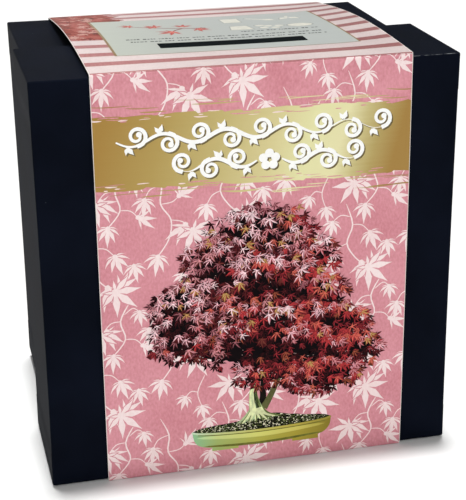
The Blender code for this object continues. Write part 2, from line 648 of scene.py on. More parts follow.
class LeafView(Enum):
    """How a printed maple leaf is turned, as (angle, length, width, bend) of its lobes.

    Angles and bends are in degrees, lengths are shares of the leaf's size, and widths
    are shares of a lobe's own length.
    """

    OPEN = ((0.0, 1.0, 0.28, 4.0), (43.0, 0.92, 0.28, 8.0), (-41.0, 0.96, 0.27, -8.0),
            (87.0, 0.76, 0.26, 10.0), (-84.0, 0.7, 0.26, -10.0),
            (131.0, 0.44, 0.26, 14.0), (-128.0, 0.4, 0.26, -14.0))
    DROOPING = ((0.0, 1.04, 0.24, 6.0), (35.0, 0.86, 0.24, -12.0), (-37.0, 0.82, 0.25, 14.0),
                (80.0, 0.74, 0.17, -46.0), (-82.0, 0.76, 0.17, 50.0),
                (118.0, 0.5, 0.14, -70.0), (-120.0, 0.46, 0.14, 70.0))
    FOLDED = ((0.0, 1.0, 0.23, 8.0), (28.0, 0.92, 0.22, 14.0), (60.0, 0.7, 0.2, 22.0),
              (-26.0, 0.64, 0.17, -18.0), (96.0, 0.42, 0.15, 24.0))


# Along a lobe's midrib, its half width as a share of the greatest one
LOBE_PROFILE = ((0.08, 0.32), (0.36, 0.8), (0.43, 1.0), (0.63, 0.7), (0.8, 0.3))


def lobe(angle: float, length: float, width: float, bend: float,
         grow: float = 0.0) -> Shape:
    """One pointed leaf lobe with a toothed edge that starts at (0, 0).

    Args:
        angle: direction of its foot, in radians.
        length: length of its midrib in millimetres.
        width: greatest width as a share of the length.
        bend: how far the tip turns from the foot, in radians.
        grow: how far the outline is moved out, in millimetres.

    Returns:
        The lobe's outline.
    """
    left, right = [], []
    for share, half in LOBE_PROFILE:
        reach = length * share
        heading = angle + bend * share / 2.0
        x, y = reach * math.cos(heading), reach * math.sin(heading)
        side = angle + bend * share + math.pi / 2.0
        out = half * width * length / 2.0 + grow
        left.append((x + out * math.cos(side), y + out * math.sin(side)))
        right.append((x - out * math.cos(side), y - out * math.sin(side)))
    end = length + 2.0 * grow
    tip = (end * math.cos(angle + bend / 2.0), end * math.sin(angle + bend / 2.0))
    return right + [tip] + left[::-1]


def maple_leaf(view: LeafView, size: float, origin: Point, angle: float,
               grow: float = 0.0) -> list[Shape]:
    """A large printed maple leaf, as overlapping lobes.

    Args:
        view: how the leaf is turned.
        size: length of its longest lobe in millimetres.
        origin: where the lobes meet.
        angle: direction of the middle lobe, in degrees.
        grow: how far the outline is moved out, in millimetres.

    Returns:
        The lobes and the small hub that joins them.
    """
    shapes = [lobe(math.radians(turn), size * length, width, math.radians(bend), grow)
              for turn, length, width, bend in view.value]
    hub = size * 0.12 + grow
    shapes.append(ellipse((0.0, 0.0), hub, hub, 6))
    return [turned(shape, origin, math.radians(angle)) for shape in shapes]


# Direction in degrees and length of a small leaf's lobes
SMALL_LEAF_LOBES = ((-118.0, 0.56), (-60.0, 0.9), (0.0, 1.0), (60.0, 0.9), (118.0, 0.56))


def star_leaf(seed: float, size: float, origin: Point, angle: float,
              lit: bool = False) -> Shape:
    """A small five-pointed leaf of the picture, as one outline.

    Args:
        seed: seed of its small differences from other leaves.
        size: length of its longest lobe in millimetres.
        origin: where the lobes meet.
        angle: direction of the middle lobe, in degrees.
        lit: True for only the lit half of each lobe, up to its midrib.

    Returns:
        The leaf's outline.
    """
    rng = random.Random(seed)
    spread = rng.uniform(0.55, 1.0)
    slim = math.radians(rng.uniform(15.0, 22.0))
    notch, midrib_foot = size * 0.17, size * 0.12
    points: Shape = []
    for turn, length in SMALL_LEAF_LOBES:
        reach = size * length * rng.uniform(0.76, 1.14)
        shoulder = reach * 0.48
        foot = math.radians(turn * spread + rng.uniform(-9.0, 9.0))
        valley = math.radians((turn - 30.0) * spread)
        outline = [(notch, valley), (shoulder, foot - slim), (reach, foot * 0.94)]
        outline += [(shoulder, foot), (midrib_foot, foot)] if lit else [(shoulder, foot + slim)]
        points += [(far * math.cos(t), far * math.sin(t)) for far, t in outline]
    points.append((-size * 0.08, 0.0))
    return turned(points, origin, math.radians(angle))


# The sleeve's surface


class Panel(IntEnum):
    """The band's panels, in their order along it."""

    FRONT = 0
    TOP = 1
    BACK = 2
    UNDERSIDE = 3


@dataclass(frozen=True)
class SleeveForm:
    """Shape of the card band, as the frame's sleeve has it, in metres.

    A place on the band is (x, run): x across the box, and run along the band, from the
    front's bottom crease up the front, back over the top, down the back and under.
    """

    lid_top: float
    base_top: float
    front_face: float
    box_depth: float
    left: float
    right: float
    gap: float = 0.3 * MM
    card: float = 0.4 * MM
    crease_lift: float = 1.2 * MM
    crease_leg: float = 0.8 * MM
    front_crown: float = 0.4 * MM
    top_crown: float = 1.4 * MM
    edge_curl: float = 1.5 * MM
    curl_power: float = 1.5
    left_curl_start: float = 15.0 * MM
    right_curl_start: float = 36.0 * MM
    lap_bottom: float = 22.0 * MM
    lap_top: float = 37.0 * MM
    lap_ease: float = 3.0 * MM
    lap_step: float = 0.15 * MM
    ink_room: float = 0.12 * MM

    @classmethod
    def from_frame(cls) -> "SleeveForm":
        """Read the band's reach from the frame's lid, base and sleeve.

        Returns:
            The form.
        """
        lid_low, lid_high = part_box("lid")
        base_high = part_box("base")[1]
        band_low, band_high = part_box("sleeve")
        return cls(lid_top=lid_high.z, base_top=base_high.z, front_face=lid_low.y,
                   box_depth=base_high.y - lid_low.y, left=band_low.x, right=band_high.x)

    @cached_property
    def corners(self) -> np.ndarray:
        """Where the creases are at mid card, in the order of the panels that they start.

        Returns:
            Rows of (y, z), with y measured from the lid's front face.
        """
        half = self.card / 2.0
        front = -(self.gap + half)
        back = self.box_depth + self.gap + half
        return np.array(((front, half), (front, self.lid_top + self.crease_lift),
                         (back, self.base_top + self.gap + half), (back, half)))

    @cached_property
    def lengths(self) -> np.ndarray:
        """Flat lengths of the front, the top, the back and the underside."""
        runs = np.roll(self.corners, -1, axis=0) - self.corners
        return np.hypot(runs[:, 0], runs[:, 1])

    @cached_property
    def starts(self) -> np.ndarray:
        """Where each panel starts along the band."""
        return np.concatenate(((0.0,), np.cumsum(self.lengths)[:-1]))

    def crown(self, panel: Panel, x: np.ndarray) -> np.ndarray:
        """How far a panel bows out in its middle.

        Args:
            panel: the panel.
            x: places across the band, from its middle.

        Returns:
            The bow at each x.
        """
        if panel == Panel.FRONT:
            return np.full_like(x, self.front_crown)
        if panel != Panel.TOP:
            return np.zeros_like(x)
        half = (self.right - self.left) / 2.0
        left = np.clip((self.left_curl_start - x) / (self.left_curl_start + half), 0.0, None)
        right = np.clip((x - self.right_curl_start) / (half - self.right_curl_start), 0.0, None)
        return self.top_crown + self.edge_curl * (left ** self.curl_power
                                                  + right ** self.curl_power)

    def on_panel(self, panel: Panel, share: np.ndarray, x: np.ndarray) -> np.ndarray:
        """Mid-card (y, z) on a panel.

        Args:
            panel: the panel.
            share: shares of the panel's length.
            x: places across the band, from its middle.

        Returns:
            One row for each place.
        """
        start = self.corners[panel]
        run = self.corners[(panel + 1) % len(Panel)] - start
        outward = np.array((-run[1], run[0])) / self.lengths[panel]
        bow = self.crown(panel, x) * np.sin(math.pi * share)
        return start + share[:, None] * run + bow[:, None] * outward

    def on_crease(self, corner: int, share: np.ndarray, x: np.ndarray) -> np.ndarray:
        """Mid-card (y, z) where the card turns round a corner.

        Args:
            corner: number of the panel that follows the corner, which may be one too many.
            share: 0 where the turn starts to 1 where it ends.
            x: places across the band, from its middle.

        Returns:
            One row for each place.
        """
        before_panel, after_panel = (Panel(i % len(Panel)) for i in (corner - 1, corner))
        leg_before = 1.0 - self.crease_leg / self.lengths[before_panel]
        leg_after = self.crease_leg / self.lengths[after_panel]
        before = self.on_panel(before_panel, np.full_like(x, leg_before), x)
        after = self.on_panel(after_panel, np.full_like(x, leg_after), x)
        t = share[:, None]
        return ((1.0 - t) ** 2 * before + 2.0 * t * (1.0 - t) * self.corners[after_panel]
                + t ** 2 * after)

    def middle(self, x: np.ndarray, run: np.ndarray) -> np.ndarray:
        """Mid-card (y, z) anywhere on the band.

        Args:
            x: places across the band, from its middle.
            run: places along the band.

        Returns:
            One row for each place.
        """
        run = np.mod(run, self.lengths.sum())
        points = np.zeros((len(run), 2))
        leg = self.crease_leg
        for panel in Panel:
            length = self.lengths[panel]
            place = run - self.starts[panel]
            inside = (place >= 0.0) & (place < length)
            first = inside & (place < leg)
            last = inside & (place > length - leg)
            flat = inside & ~first & ~last
            points[flat] = self.on_panel(panel, place[flat] / length, x[flat])
            points[first] = self.on_crease(panel, 0.5 + place[first] / (2.0 * leg), x[first])
            points[last] = self.on_crease(
                panel + 1, (place[last] - length + leg) / (2.0 * leg), x[last])
        return points

    def lap(self, run: np.ndarray, height: np.ndarray) -> np.ndarray:
        """Extra card layers of the glue lap on the back, 0 to 1.

        Args:
            run: places along the band.
            height: their heights above the ground.

        Returns:
            The share of one extra layer at each place.
        """
        run = np.mod(run, self.lengths.sum())
        on_back = (run > self.starts[Panel.BACK]) & (run < self.starts[Panel.UNDERSIDE])
        rise = np.clip((height - self.lap_bottom) / self.lap_step, 0.0, 1.0)
        ease = np.clip(1.0 - (height - self.lap_top) / self.lap_ease, 0.0, 1.0)
        return np.where(on_back, np.minimum(rise, ease), 0.0)

    def place(self, x: np.ndarray, run: np.ndarray, lift: float) -> np.ndarray:
        """Points above or below the band's outer face.

        Args:
            x: places across the box, in metres.
            run: places along the band, in metres.
            lift: height above the frame's card face, in metres.

        Returns:
            One (x, y, z) row for each place.
        """
        local = x - (self.left + self.right) / 2.0
        step = 0.02 * MM
        here = self.middle(local, run)
        tangent = self.middle(local, run + step) - self.middle(local, run - step)
        tangent /= np.linalg.norm(tangent, axis=1)[:, None]
        out = self.card / 2.0 + lift
        if lift > -self.card / 2.0:
            out = out + self.lap(run, here[:, 1]) * self.card
        y = self.front_face + here[:, 0] - tangent[:, 1] * out
        z = here[:, 1] + tangent[:, 0] * out
        return np.column_stack((x, y, z))

    def cuts(self, start: float, end: float, step: float) -> list[float]:
        """Places along the band where a sheet needs a line of points.

        Args:
            start: first place in millimetres, which may be below zero.
            end: last place in millimetres.
            step: longest flat stretch in millimetres.

        Returns:
            The places in millimetres, from start to end.
        """
        leg = self.crease_leg / MM
        total = self.lengths.sum() / MM
        corners = [s / MM + turn for turn in (-total, 0.0, total) for s in self.starts]
        marks = {start, end}
        for corner, after in zip(corners, corners[1:]):
            marks.update(corner + leg * share for share in (-1.0, -0.6, -0.2, 0.2, 0.6, 1.0))
            count = max(1, round((after - corner - 2.0 * leg) / step))
            marks.update(corner + leg + (after - corner - 2.0 * leg) * i / count
                         for i in range(count))
        back_end = self.starts[Panel.UNDERSIDE] / MM
        low = self.corners[Panel.UNDERSIDE][1]
        for turn in (-total, 0.0):
            for height in (self.lap_bottom, self.lap_bottom + self.lap_step,
                           self.lap_top, self.lap_top + self.lap_ease):
                marks.add(back_end + turn - (height - low) / MM)
        return [mark for mark in sorted(marks) if start <= mark <= end]


@dataclass(frozen=True)
class Window:
    """A stretch of the band that a print is cut to, in millimetres.

    Its steps are the longest flat stretches of ink across and along the bowed card.
    """

    left: float
    start: float
    right: float
    end: float
    across_step: float = 200.0
    along_step: float = 10.0


@dataclass
class InkPass:
    """Shapes that one pass of the press lays down at one level.

    Attributes:
        shapes: closed outlines of (x, run) in millimetres.
        level: height of the ink's top above the frame's card face, in millimetres.
        window: where the shapes are joined and cut to, or None to lay each as it is.
    """

    shapes: list[Shape]
    level: float
    window: Window | None = None


class Ink(Protocol):
    """A finish that can be laid anywhere on the sleeve."""

    def material(self) -> bpy.types.Material:
        """Make the ink."""


@dataclass
class Press:
    """Lays flat ink shapes on the sleeve as closed films.

    Attributes:
        form: the sleeve's shape.
        film: thickness of the ink in millimetres.
    """

    form: SleeveForm
    film: float = 0.008

    def joined(self, shapes: list[Shape], window: Window) -> tuple[np.ndarray, np.ndarray]:
        """Join overlapping shapes, cut them to a window and divide them for bending.

        Args:
            shapes: closed outlines in millimetres.
            window: where they are cut to.

        Returns:
            Flat points, and triangles of them.
        """
        outlines = [rectangle(window.left, window.start, window.right, window.end), *shapes]
        points: list[Vector] = []
        faces: list[list[int]] = []
        for outline in outlines:
            area = sum(a[0] * b[1] - b[0] * a[1]
                       for a, b in zip(outline, outline[1:] + outline[:1]))
            ordered = outline if area > 0.0 else outline[::-1]
            faces.append(list(range(len(points), len(points) + len(ordered))))
            points.extend(Vector(point) for point in ordered)
        edges: list[tuple[int, int]] = []
        for run in self.form.cuts(window.start, window.end, window.along_step):
            edges.append((len(points), len(points) + 1))
            points.extend((Vector((window.left, run)), Vector((window.right, run))))
        count = int((window.right - window.left) / window.across_step)
        for i in range(1, count + 1):
            x = window.left + (window.right - window.left) * i / (count + 1)
            edges.append((len(points), len(points) + 1))
            points.extend((Vector((x, window.start)), Vector((x, window.end))))
        flat, _, triangles, _, _, origins = delaunay_2d_cdt(points, edges, faces, 0, 1e-5, True)
        kept = [tri for tri, origin in zip(triangles, origins)
                if 0 in origin and any(face > 0 for face in origin)]
        return np.array([tuple(p) for p in flat]), np.array(kept)

    @staticmethod
    def separate(shapes: list[Shape]) -> tuple[np.ndarray, np.ndarray]:
        """Divide each shape into triangles on its own.

        Args:
            shapes: closed outlines in millimetres, free to overlap.

        Returns:
            Flat points, and triangles of them.
        """
        points: list[Point] = []
        triangles: list[tuple[int, int, int]] = []
        for shape in shapes:
            start = len(points)
            points.extend(shape)
            for tri in tessellate_polygon([[Vector((x, y, 0.0)) for x, y in shape]]):
                a, b, c = (shape[i] for i in tri)
                area = (b[0] - a[0]) * (c[1] - a[1]) - (c[0] - a[0]) * (b[1] - a[1])
                numbers = tuple(start + i for i in tri)
                triangles.append(numbers if area > 0.0 else numbers[::-1])
        return np.array(points), np.array(triangles)

    def lay(self, name: str, ink: Ink, passes: Sequence[InkPass]) -> bpy.types.Object:
        """Print one piece on the sleeve.

        Args:
            name: the piece's name.
            ink: its finish.
            passes: its shapes, each pass at its own level.

        Returns:
            The piece.
        """
        all_points: list[np.ndarray] = []
        all_faces: list[tuple[int, ...]] = []
        count = 0
        for each in passes:
            if each.window:
                flat, triangles = self.joined(each.shapes, each.window)
            else:
                flat, triangles = self.separate(each.shapes)
            used, triangles = np.unique(triangles, return_inverse=True)
            flat, triangles = flat[used], triangles.reshape(-1, 3)
            x, run = flat[:, 0] * MM, flat[:, 1] * MM
            points, faces = close_shell(self.form.place(x, run, each.level * MM),
                                        self.form.place(x, run, (each.level - self.film) * MM),
                                        triangles)
            all_points.append(points)
            all_faces.extend(tuple(i + count for i in face) for face in faces)
            count += len(points)
        mesh = smooth_mesh(name, np.concatenate(all_points).tolist(), all_faces)
        return new_piece(name, mesh, ink.material(), "sleeve")


@dataclass
class Print:
    """One subject of the sleeve's print.

    Attributes:
        press: lays it on the card.
        window: the stretch of the band that it is cut to.
    """

    press: Press
    window: Window

    def lay(self, name: str, ink: Ink, shapes: list[Shape], level: float) -> None:
        """Print a piece that takes a single pass."""
        self.press.lay(name, ink, [InkPass(shapes, level, self.window)])


# The box


@dataclass
class WrappedTray:
    """A greyboard tray under black paper, the lid or the base.

    Its board bows in a little between the corners, its edges are round where the paper
    is drawn over them, and the paper is doubled along the corners of the side walls.
    """

    node: str
    open_towards: int
    board: float = 3.0 * MM
    edge_round: float = 0.7 * MM
    edge_segments: int = 4
    bow: float = 0.3 * MM
    overlap: float = 13.0 * MM
    overlap_ease: float = 0.4 * MM
    paper: float = 0.1 * MM
    divisions: int = 15

    def build(self) -> bpy.types.Object:
        """Build the tray in place of its node.

        Returns:
            The tray.
        """
        lowest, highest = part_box(self.node)
        size = highest - lowest
        size.x -= 2.0 * self.paper
        tray = bmesh.new()
        bmesh.ops.create_cube(tray, size=1.0)
        bmesh.ops.scale(tray, vec=size, verts=tray.verts)
        tray.normal_update()
        mouth = [face for face in tray.faces if face.normal.y * self.open_towards > 0.5]
        bmesh.ops.inset_region(tray, faces=mouth, thickness=self.board, use_even_offset=True)
        hollow = bmesh.ops.extrude_discrete_faces(tray, faces=mouth)
        bmesh.ops.translate(tray, verts=hollow["faces"][0].verts,
                            vec=(0.0, -self.open_towards * (size.y - self.board), 0.0))
        long_edges = [edge for edge in tray.edges if edge.calc_length() > 4.0 * self.board]
        bmesh.ops.subdivide_edges(tray, edges=long_edges, cuts=self.divisions,
                                  use_grid_fill=True)
        self.cut_overlaps(tray, size)
        self.bend(tray, size)
        bmesh.ops.translate(tray, verts=tray.verts, vec=(lowest + highest) / 2.0)
        bmesh.ops.recalc_face_normals(tray, faces=tray.faces)
        mesh = bpy.data.meshes.new(f"{self.node}_wrapped")
        tray.to_mesh(mesh)
        tray.free()
        mesh.shade_smooth()
        paper = SoftTouchPaper(f"soft_touch_black_paper_{self.node}").material(lowest, highest)
        piece = new_piece(f"{self.node}_wrapped", mesh, paper, "box")
        edges = piece.modifiers.new("drawn_paper_edges", "BEVEL")
        edges.width = self.edge_round
        edges.segments = self.edge_segments
        edges.limit_method = "ANGLE"
        edges.harden_normals = True
        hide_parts(self.node)
        return piece

    def cut_overlaps(self, tray: bmesh.types.BMesh, size: Vector) -> None:
        """Cut lines where the doubled paper of the side walls ends.

        Args:
            tray: the tray, centred on its own middle.
            size: its outer size.
        """
        for side in (-1.0, 1.0):
            for inset in (self.overlap, self.overlap + self.overlap_ease):
                height = side * (size.z / 2.0 - inset)
                geometry = tray.verts[:] + tray.edges[:] + tray.faces[:]
                bmesh.ops.bisect_plane(tray, geom=geometry, plane_co=(0.0, 0.0, height),
                                       plane_no=(0.0, 0.0, 1.0))

    def bend(self, tray: bmesh.types.BMesh, size: Vector) -> None:
        """Bow the walls in and raise the doubled paper.

        Args:
            tray: the tray, centred on its own middle.
            size: its outer size.
        """
        half = size / 2.0
        close = self.board / 10.0
        for vert in tray.verts:
            x, y, z = vert.co
            across = max(0.0, 1.0 - (x / half.x) ** 2)
            upright = max(0.0, 1.0 - (z / half.z) ** 2)
            outer_wall = abs(abs(x) - half.x) < close
            vert.co.z -= math.copysign(self.bow * across, z) * (abs(z) / half.z) ** 4
            vert.co.x -= math.copysign(self.bow * upright, x) * (abs(x) / half.x) ** 4
            if abs(y + self.open_towards * half.y) < self.board + close:
                vert.co.y += self.open_towards * self.bow * across * upright
            if outer_wall and half.z - abs(z) < self.overlap + close:
                vert.co.x += math.copysign(self.paper, x)


# The sleeve's card and print


@dataclass
class SleeveCard:
    """The bare card band under the print."""

    form: SleeveForm
    stations: int = 57
    along_step: float = 3.0

    def build(self) -> bpy.types.Object:
        """Build the band in place of the frame's sleeve.

        Returns:
            The band.
        """
        form = self.form
        total = form.lengths.sum() / MM
        runs = np.array(form.cuts(0.0, total, self.along_step)[:-1]) * MM
        count = len(runs)
        points: list[list[float]] = []
        for x in np.linspace(form.left, form.right, self.stations):
            across = np.full(count, x)
            points += form.place(across, runs, -form.ink_room).tolist()
            points += form.place(across, runs, -form.card).tolist()
        faces: list[tuple[int, ...]] = []
        for i in range(count):
            j = (i + 1) % count
            for station in range(self.stations - 1):
                here, there = 2 * count * station, 2 * count * (station + 1)
                faces.append((here + i, there + i, there + j, here + j))
                faces.append((here + count + i, here + count + j,
                              there + count + j, there + count + i))
            last = 2 * count * (self.stations - 1)
            faces.append((i, j, j + count, i + count))
            faces.append((last + i, last + i + count, last + j + count, last + j))
        mesh = smooth_mesh("sleeve_card", points, faces)
        piece = new_piece("sleeve_card", mesh, BleachedBoard().material(), "sleeve")
        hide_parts("sleeve")
        return piece


@dataclass
class Grounds:
    """The two ground colours: pink round the band, pale under the stripes on top."""

    press: Press
    bare_edge: float = 0.2
    level: float = -0.1
    pink: MottledInk = MottledInk("pink_washi_print", *PINK_INK)
    # The pale ground carries painted shade, darker towards the right edge where the card curls.
    pale: MottledInk = MottledInk("pale_rose_print", "#CEBCBA", "#DCCBC8", cloud_share=0.6,
                                   painted_shade_right=0.15, painted_shade_from=-50.0)

    def windows(self) -> tuple[Window, Window]:
        """Divide the band between the two grounds.

        Returns:
            The pink stretch and the pale one.
        """
        form = self.press.form
        left, right = form.left / MM + self.bare_edge, form.right / MM - self.bare_edge
        top_start, top_end = form.starts[Panel.TOP] / MM, form.starts[Panel.BACK] / MM
        around = -(form.lengths[Panel.BACK] + form.lengths[Panel.UNDERSIDE]) / MM
        return (Window(left, around, right, top_start),
                Window(left, top_start, right, top_end, TOP_STEP, TOP_STEP))

    def build(self) -> None:
        """Print both grounds."""
        pink, pale = self.windows()
        for name, ink, window in (("sleeve_pink_ground", self.pink, pink),
                                  ("sleeve_top_ground", self.pale, pale)):
            sheet = rectangle(window.left, window.start, window.right, window.end)
            Print(self.press, window).lay(name, ink, [sheet], self.level)


@dataclass
class MapleRepeat(Print):
    """Pale maple sprays that repeat over the pink ground, every other column half a step up."""

    width: float = 46.0
    height: float = 48.0
    level: float = -0.088
    outline: float = 0.32
    ink: MottledInk = MottledInk("pale_leaf_print", "#F1D8D7", "#F9E6E5", cloud_share=0.5)
    gap: MottledInk = MottledInk("leaf_outline_print", *PINK_INK)

    @staticmethod
    def sprays() -> list[Shape]:
        """Stems and the leaves that lie under.

        Returns:
            Shapes measured from the repeat's lower left corner.
        """
        stems = (
            ((4.0, 47.0), (7.0, 40.0), (6.5, 33.0), (10.0, 27.0), (9.0, 20.0), (5.0, 14.0)),
            ((10.0, 27.0), (14.0, 26.0), (17.0, 23.0)), ((7.0, 40.0), (3.0, 38.5), (1.0, 35.0)),
            ((6.5, 33.0), (10.5, 33.5), (13.0, 35.5)),
            ((27.0, 51.0), (29.5, 43.0), (27.5, 36.0), (31.0, 30.0), (35.0, 27.0)),
            ((27.5, 36.0), (24.5, 34.5), (22.5, 31.0)), ((29.5, 43.0), (33.0, 42.5), (36.0, 39.5)),
            ((40.5, 22.0), (37.0, 15.0), (38.5, 8.0), (34.0, 2.0)),
            ((37.0, 15.0), (33.5, 14.5), (30.5, 11.0)), ((38.5, 8.0), (42.0, 7.5), (44.5, 5.0)),
            ((21.0, 15.0), (18.0, 8.0), (19.5, 2.0)), ((18.0, 8.0), (15.5, 8.5), (13.5, 6.5)),
            ((35.0, 27.0), (39.5, 30.0), (42.5, 35.5)), ((28.6, 46.0), (25.0, 46.8), (22.0, 44.5)),
            ((38.4, 17.4), (41.5, 19.6), (43.8, 18.0)))
        shapes = [ribbon(stem, lambda share, w=0.52 if len(stem) > 3 else 0.36:
                         w * min(1.0, 0.3 + 4.0 * share, 1.25 - 0.5 * share), 4)
                  for stem in stems]
        droop, fold = LeafView.DROOPING, LeafView.FOLDED
        leaves = (
            (droop, 7.5, (5.0, 14.0), -102.0), (fold, 9.0, (15.0, 24.8), -150.0),
            (droop, 7.0, (1.0, 35.0), -98.0), (fold, 8.0, (13.0, 35.5), 20.0),
            (fold, 9.5, (33.0, 28.2), -104.0), (droop, 7.0, (22.5, 31.0), -94.0),
            (droop, 7.5, (36.0, 39.5), -72.0), (droop, 7.0, (34.0, 2.0), -96.0),
            (fold, 8.5, (32.0, 11.8), -74.0), (fold, 7.5, (44.5, 5.0), -42.0),
            (droop, 6.0, (19.5, 2.0), -84.0), (droop, 5.5, (13.5, 6.5), -112.0),
            (fold, 7.5, (37.0, 27.6), 24.0), (droop, 6.6, (42.5, 35.5), -82.0),
            (droop, 6.2, (22.0, 44.5), -100.0), (droop, 6.0, (43.8, 18.0), -86.0))
        for view, size, origin, angle in leaves:
            shapes += maple_leaf(view, size, origin, angle)
        return shapes

    @staticmethod
    def clusters(grow: float) -> list[Shape]:
        """The large open leaf that lies over each cluster.

        Args:
            grow: how far its outline is moved out, in millimetres.

        Returns:
            Shapes measured from the repeat's lower left corner.
        """
        shapes: list[Shape] = []
        for size, origin, angle in ((9.6, (17.5, 22.6), -66.0), (10.2, (35.5, 26.4), -42.0),
                                    (9.0, (30.0, 10.6), -128.0)):
            shapes += maple_leaf(LeafView.OPEN, size, origin, angle, grow)
        return shapes

    def spread(self, tile: list[Shape]) -> list[Shape]:
        """Repeat shapes all over the window.

        Args:
            tile: the shapes of one repeat.

        Returns:
            All their copies.
        """
        shapes: list[Shape] = []
        first = math.floor(self.window.left / self.width) - 1
        for column in range(first, math.ceil(self.window.right / self.width) + 1):
            drop = self.height / 2.0 * (column % 2)
            for row in range(math.floor(self.window.start / self.height) - 2,
                             math.ceil(self.window.end / self.height) + 1):
                shapes += moved(tile, (column * self.width + 7.0, row * self.height + drop))
        return shapes

    def build(self) -> None:
        """Print the sprays, then the open leaves inside a thin outline of the ground."""
        for name, ink, tile, lift in (
                ("sleeve_maple_repeat", self.ink, self.sprays(), 0.0),
                ("sleeve_leaf_outlines", self.gap, self.clusters(self.outline), 0.005),
                ("sleeve_open_leaves", self.ink, self.clusters(0.0), 0.01)):
            self.lay(name, ink, self.spread(tile), self.level + lift)


@dataclass
class GoldBand(Print):
    """The torn gold band across the front, with a white scroll in place of lettering."""

    low: float = 110.0
    low_slope: float = -0.022
    high: float = 136.4
    high_slope: float = -0.015
    level: float = -0.07
    shadow_fall: Point = (0.5, -0.55)
    gold: GradientInk = GradientInk(
        "brushed_gold_print",
        ((-54.0, "#A68240"), (-33.0, "#B39957"), (-13.0, "#C4B375"), (7.0, "#D8CD95"),
         (20.0, "#E5E2AC"), (32.0, "#E6E0AE"), (39.0, "#C9BC83"), (45.0, "#B5A063"),
         (53.0, "#A58244")), (-56.0, 58.0), slant=0.26, specular=0.12)
    white: PrintedInk = PrintedInk("scroll_white_print", "#FDFDFA", 0.4, uneven=0.02)
    shadow: PrintedInk = PrintedInk("scroll_shadow_print", "#6E6140", specular=0.1)

    def edge(self, x: float, out: float) -> float:
        """Mean height of one edge of the band.

        Args:
            x: the place across, in millimetres.
            out: 1 for the upper edge, -1 for the lower one.

        Returns:
            The height.
        """
        if out > 0.0:
            return self.high + self.high_slope * x
        return self.low + self.low_slope * x

    def torn_edge(self, rng: random.Random, out: float) -> Shape:
        """One ragged edge of the band, from left to right.

        Args:
            rng: the seeded source of the tears.
            out: 1 for the upper edge, -1 for the lower one.

        Returns:
            Points along the edge.
        """
        points: Shape = []
        x, drift = self.window.left - 1.0, 0.0
        while x < self.window.right + 1.0:
            drift = 0.86 * drift + rng.uniform(-0.2, 0.2)
            step = rng.choice((0.7, 1.3, 2.2, 3.4))
            height = self.edge(x, out)
            points.append((x, height + out * (drift + rng.uniform(-0.12, 0.12))))
            if rng.random() < 0.2:
                depth = rng.uniform(0.3, 0.9)
                points.append((x + 0.9, height + out * (drift - depth)))
                points.append((x + rng.uniform(3.0, 8.0), height + out * (drift - depth * 0.3)))
                x = points[-1][0]
            x += step
        return points

    def strokes(self, rng: random.Random, out: float, near: float, far: float,
                count: int, longest: float) -> list[Shape]:
        """Dry-brush strokes along an edge, thin and pointed.

        Args:
            rng: the seeded source of their places.
            out: 1 at the upper edge, -1 at the lower one.
            near: their least distance out from the edge, below zero for strokes inside.
            far: their greatest distance out from the edge.
            count: how many there are.
            longest: length of the longest one.

        Returns:
            The strokes.
        """
        shapes = []
        for _ in range(count):
            x = rng.uniform(self.window.left - 6.0, self.window.right - 4.0)
            length = rng.uniform(0.25, 1.0) * longest
            y = self.edge(x, out) + out * rng.uniform(near, far)
            rise = rng.uniform(-0.7, 0.4) * length / 14.0
            thick = rng.uniform(0.16, 0.5)
            shapes.append(ribbon(((x, y), (x + length * 0.4, y + rise), (x + length, y + rise)),
                                 lambda share, w=thick: w * math.sin(math.pi * share) ** 0.7))
        return shapes

    def tendrils(self, start: Point, reach: float, turns: int) -> list[Shape]:
        """A wavy stem with a curled tendril and a pair of leaves in each bend.

        Args:
            start: where the stem begins, in millimetres.
            reach: how far it runs, to the left if below zero.
            turns: how many bends it has.

        Returns:
            The scroll's shapes.
        """
        x0, middle = start
        way = math.copysign(1.0, reach)
        pitch = abs(reach) / turns
        swing, curl_radius = 1.9, 3.5
        stem = [(x0 + reach * i / (8 * turns),
                 middle - swing * math.sin(math.pi * i / 8.0)) for i in range(8 * turns + 1)]
        shapes = [ribbon(stem, lambda share: 1.5 * math.sin(math.pi * min(0.96, share + 0.12)), 2)]
        for i in range(turns):
            side = -1.0 if i % 2 else 1.0
            x = x0 + way * pitch * (i + 0.42)
            foot = middle - side * swing
            curl = []
            for k in range(15):
                share = k / 14.0
                radius = curl_radius - 2.5 * share
                angle = side * (-0.5 * math.pi + 2.7 * math.pi * share)
                curl.append((x + way * (2.6 + radius * math.cos(angle)),
                             foot + side * curl_radius + radius * math.sin(angle)))
            shapes.append(ribbon(curl, taper(1.5, 0.9), 2))
            shapes.append(ellipse(curl[-1], 1.0, 1.0, 12))
            for lean, size in ((62.0, 3.6), (112.0, 3.0)):
                turn = math.radians(-side * lean if way > 0.0 else 180.0 + side * lean)
                shapes.append(turned(lobe(0.0, size, 0.5, 0.3), (x - way * 0.6, foot), turn))
        return shapes

    def scroll(self) -> list[Shape]:
        """A long scroll over a shorter one that spreads from a five-petalled flower.

        Returns:
            The scroll's shapes.
        """
        shapes = self.tendrils((-47.0, 128.0), 97.0, 9)
        flower = (6.0, 117.8)
        for way in (-1.0, 1.0):
            shapes += self.tendrils((flower[0] + way * 4.5, flower[1]), way * 29.0, 3)
        for petal in range(5):
            turn = math.radians(90.0 + 72.0 * petal)
            shapes.append(ellipse((flower[0] + 2.3 * math.cos(turn),
                                   flower[1] + 2.3 * math.sin(turn)), 1.6, 1.6, 14))
        return shapes

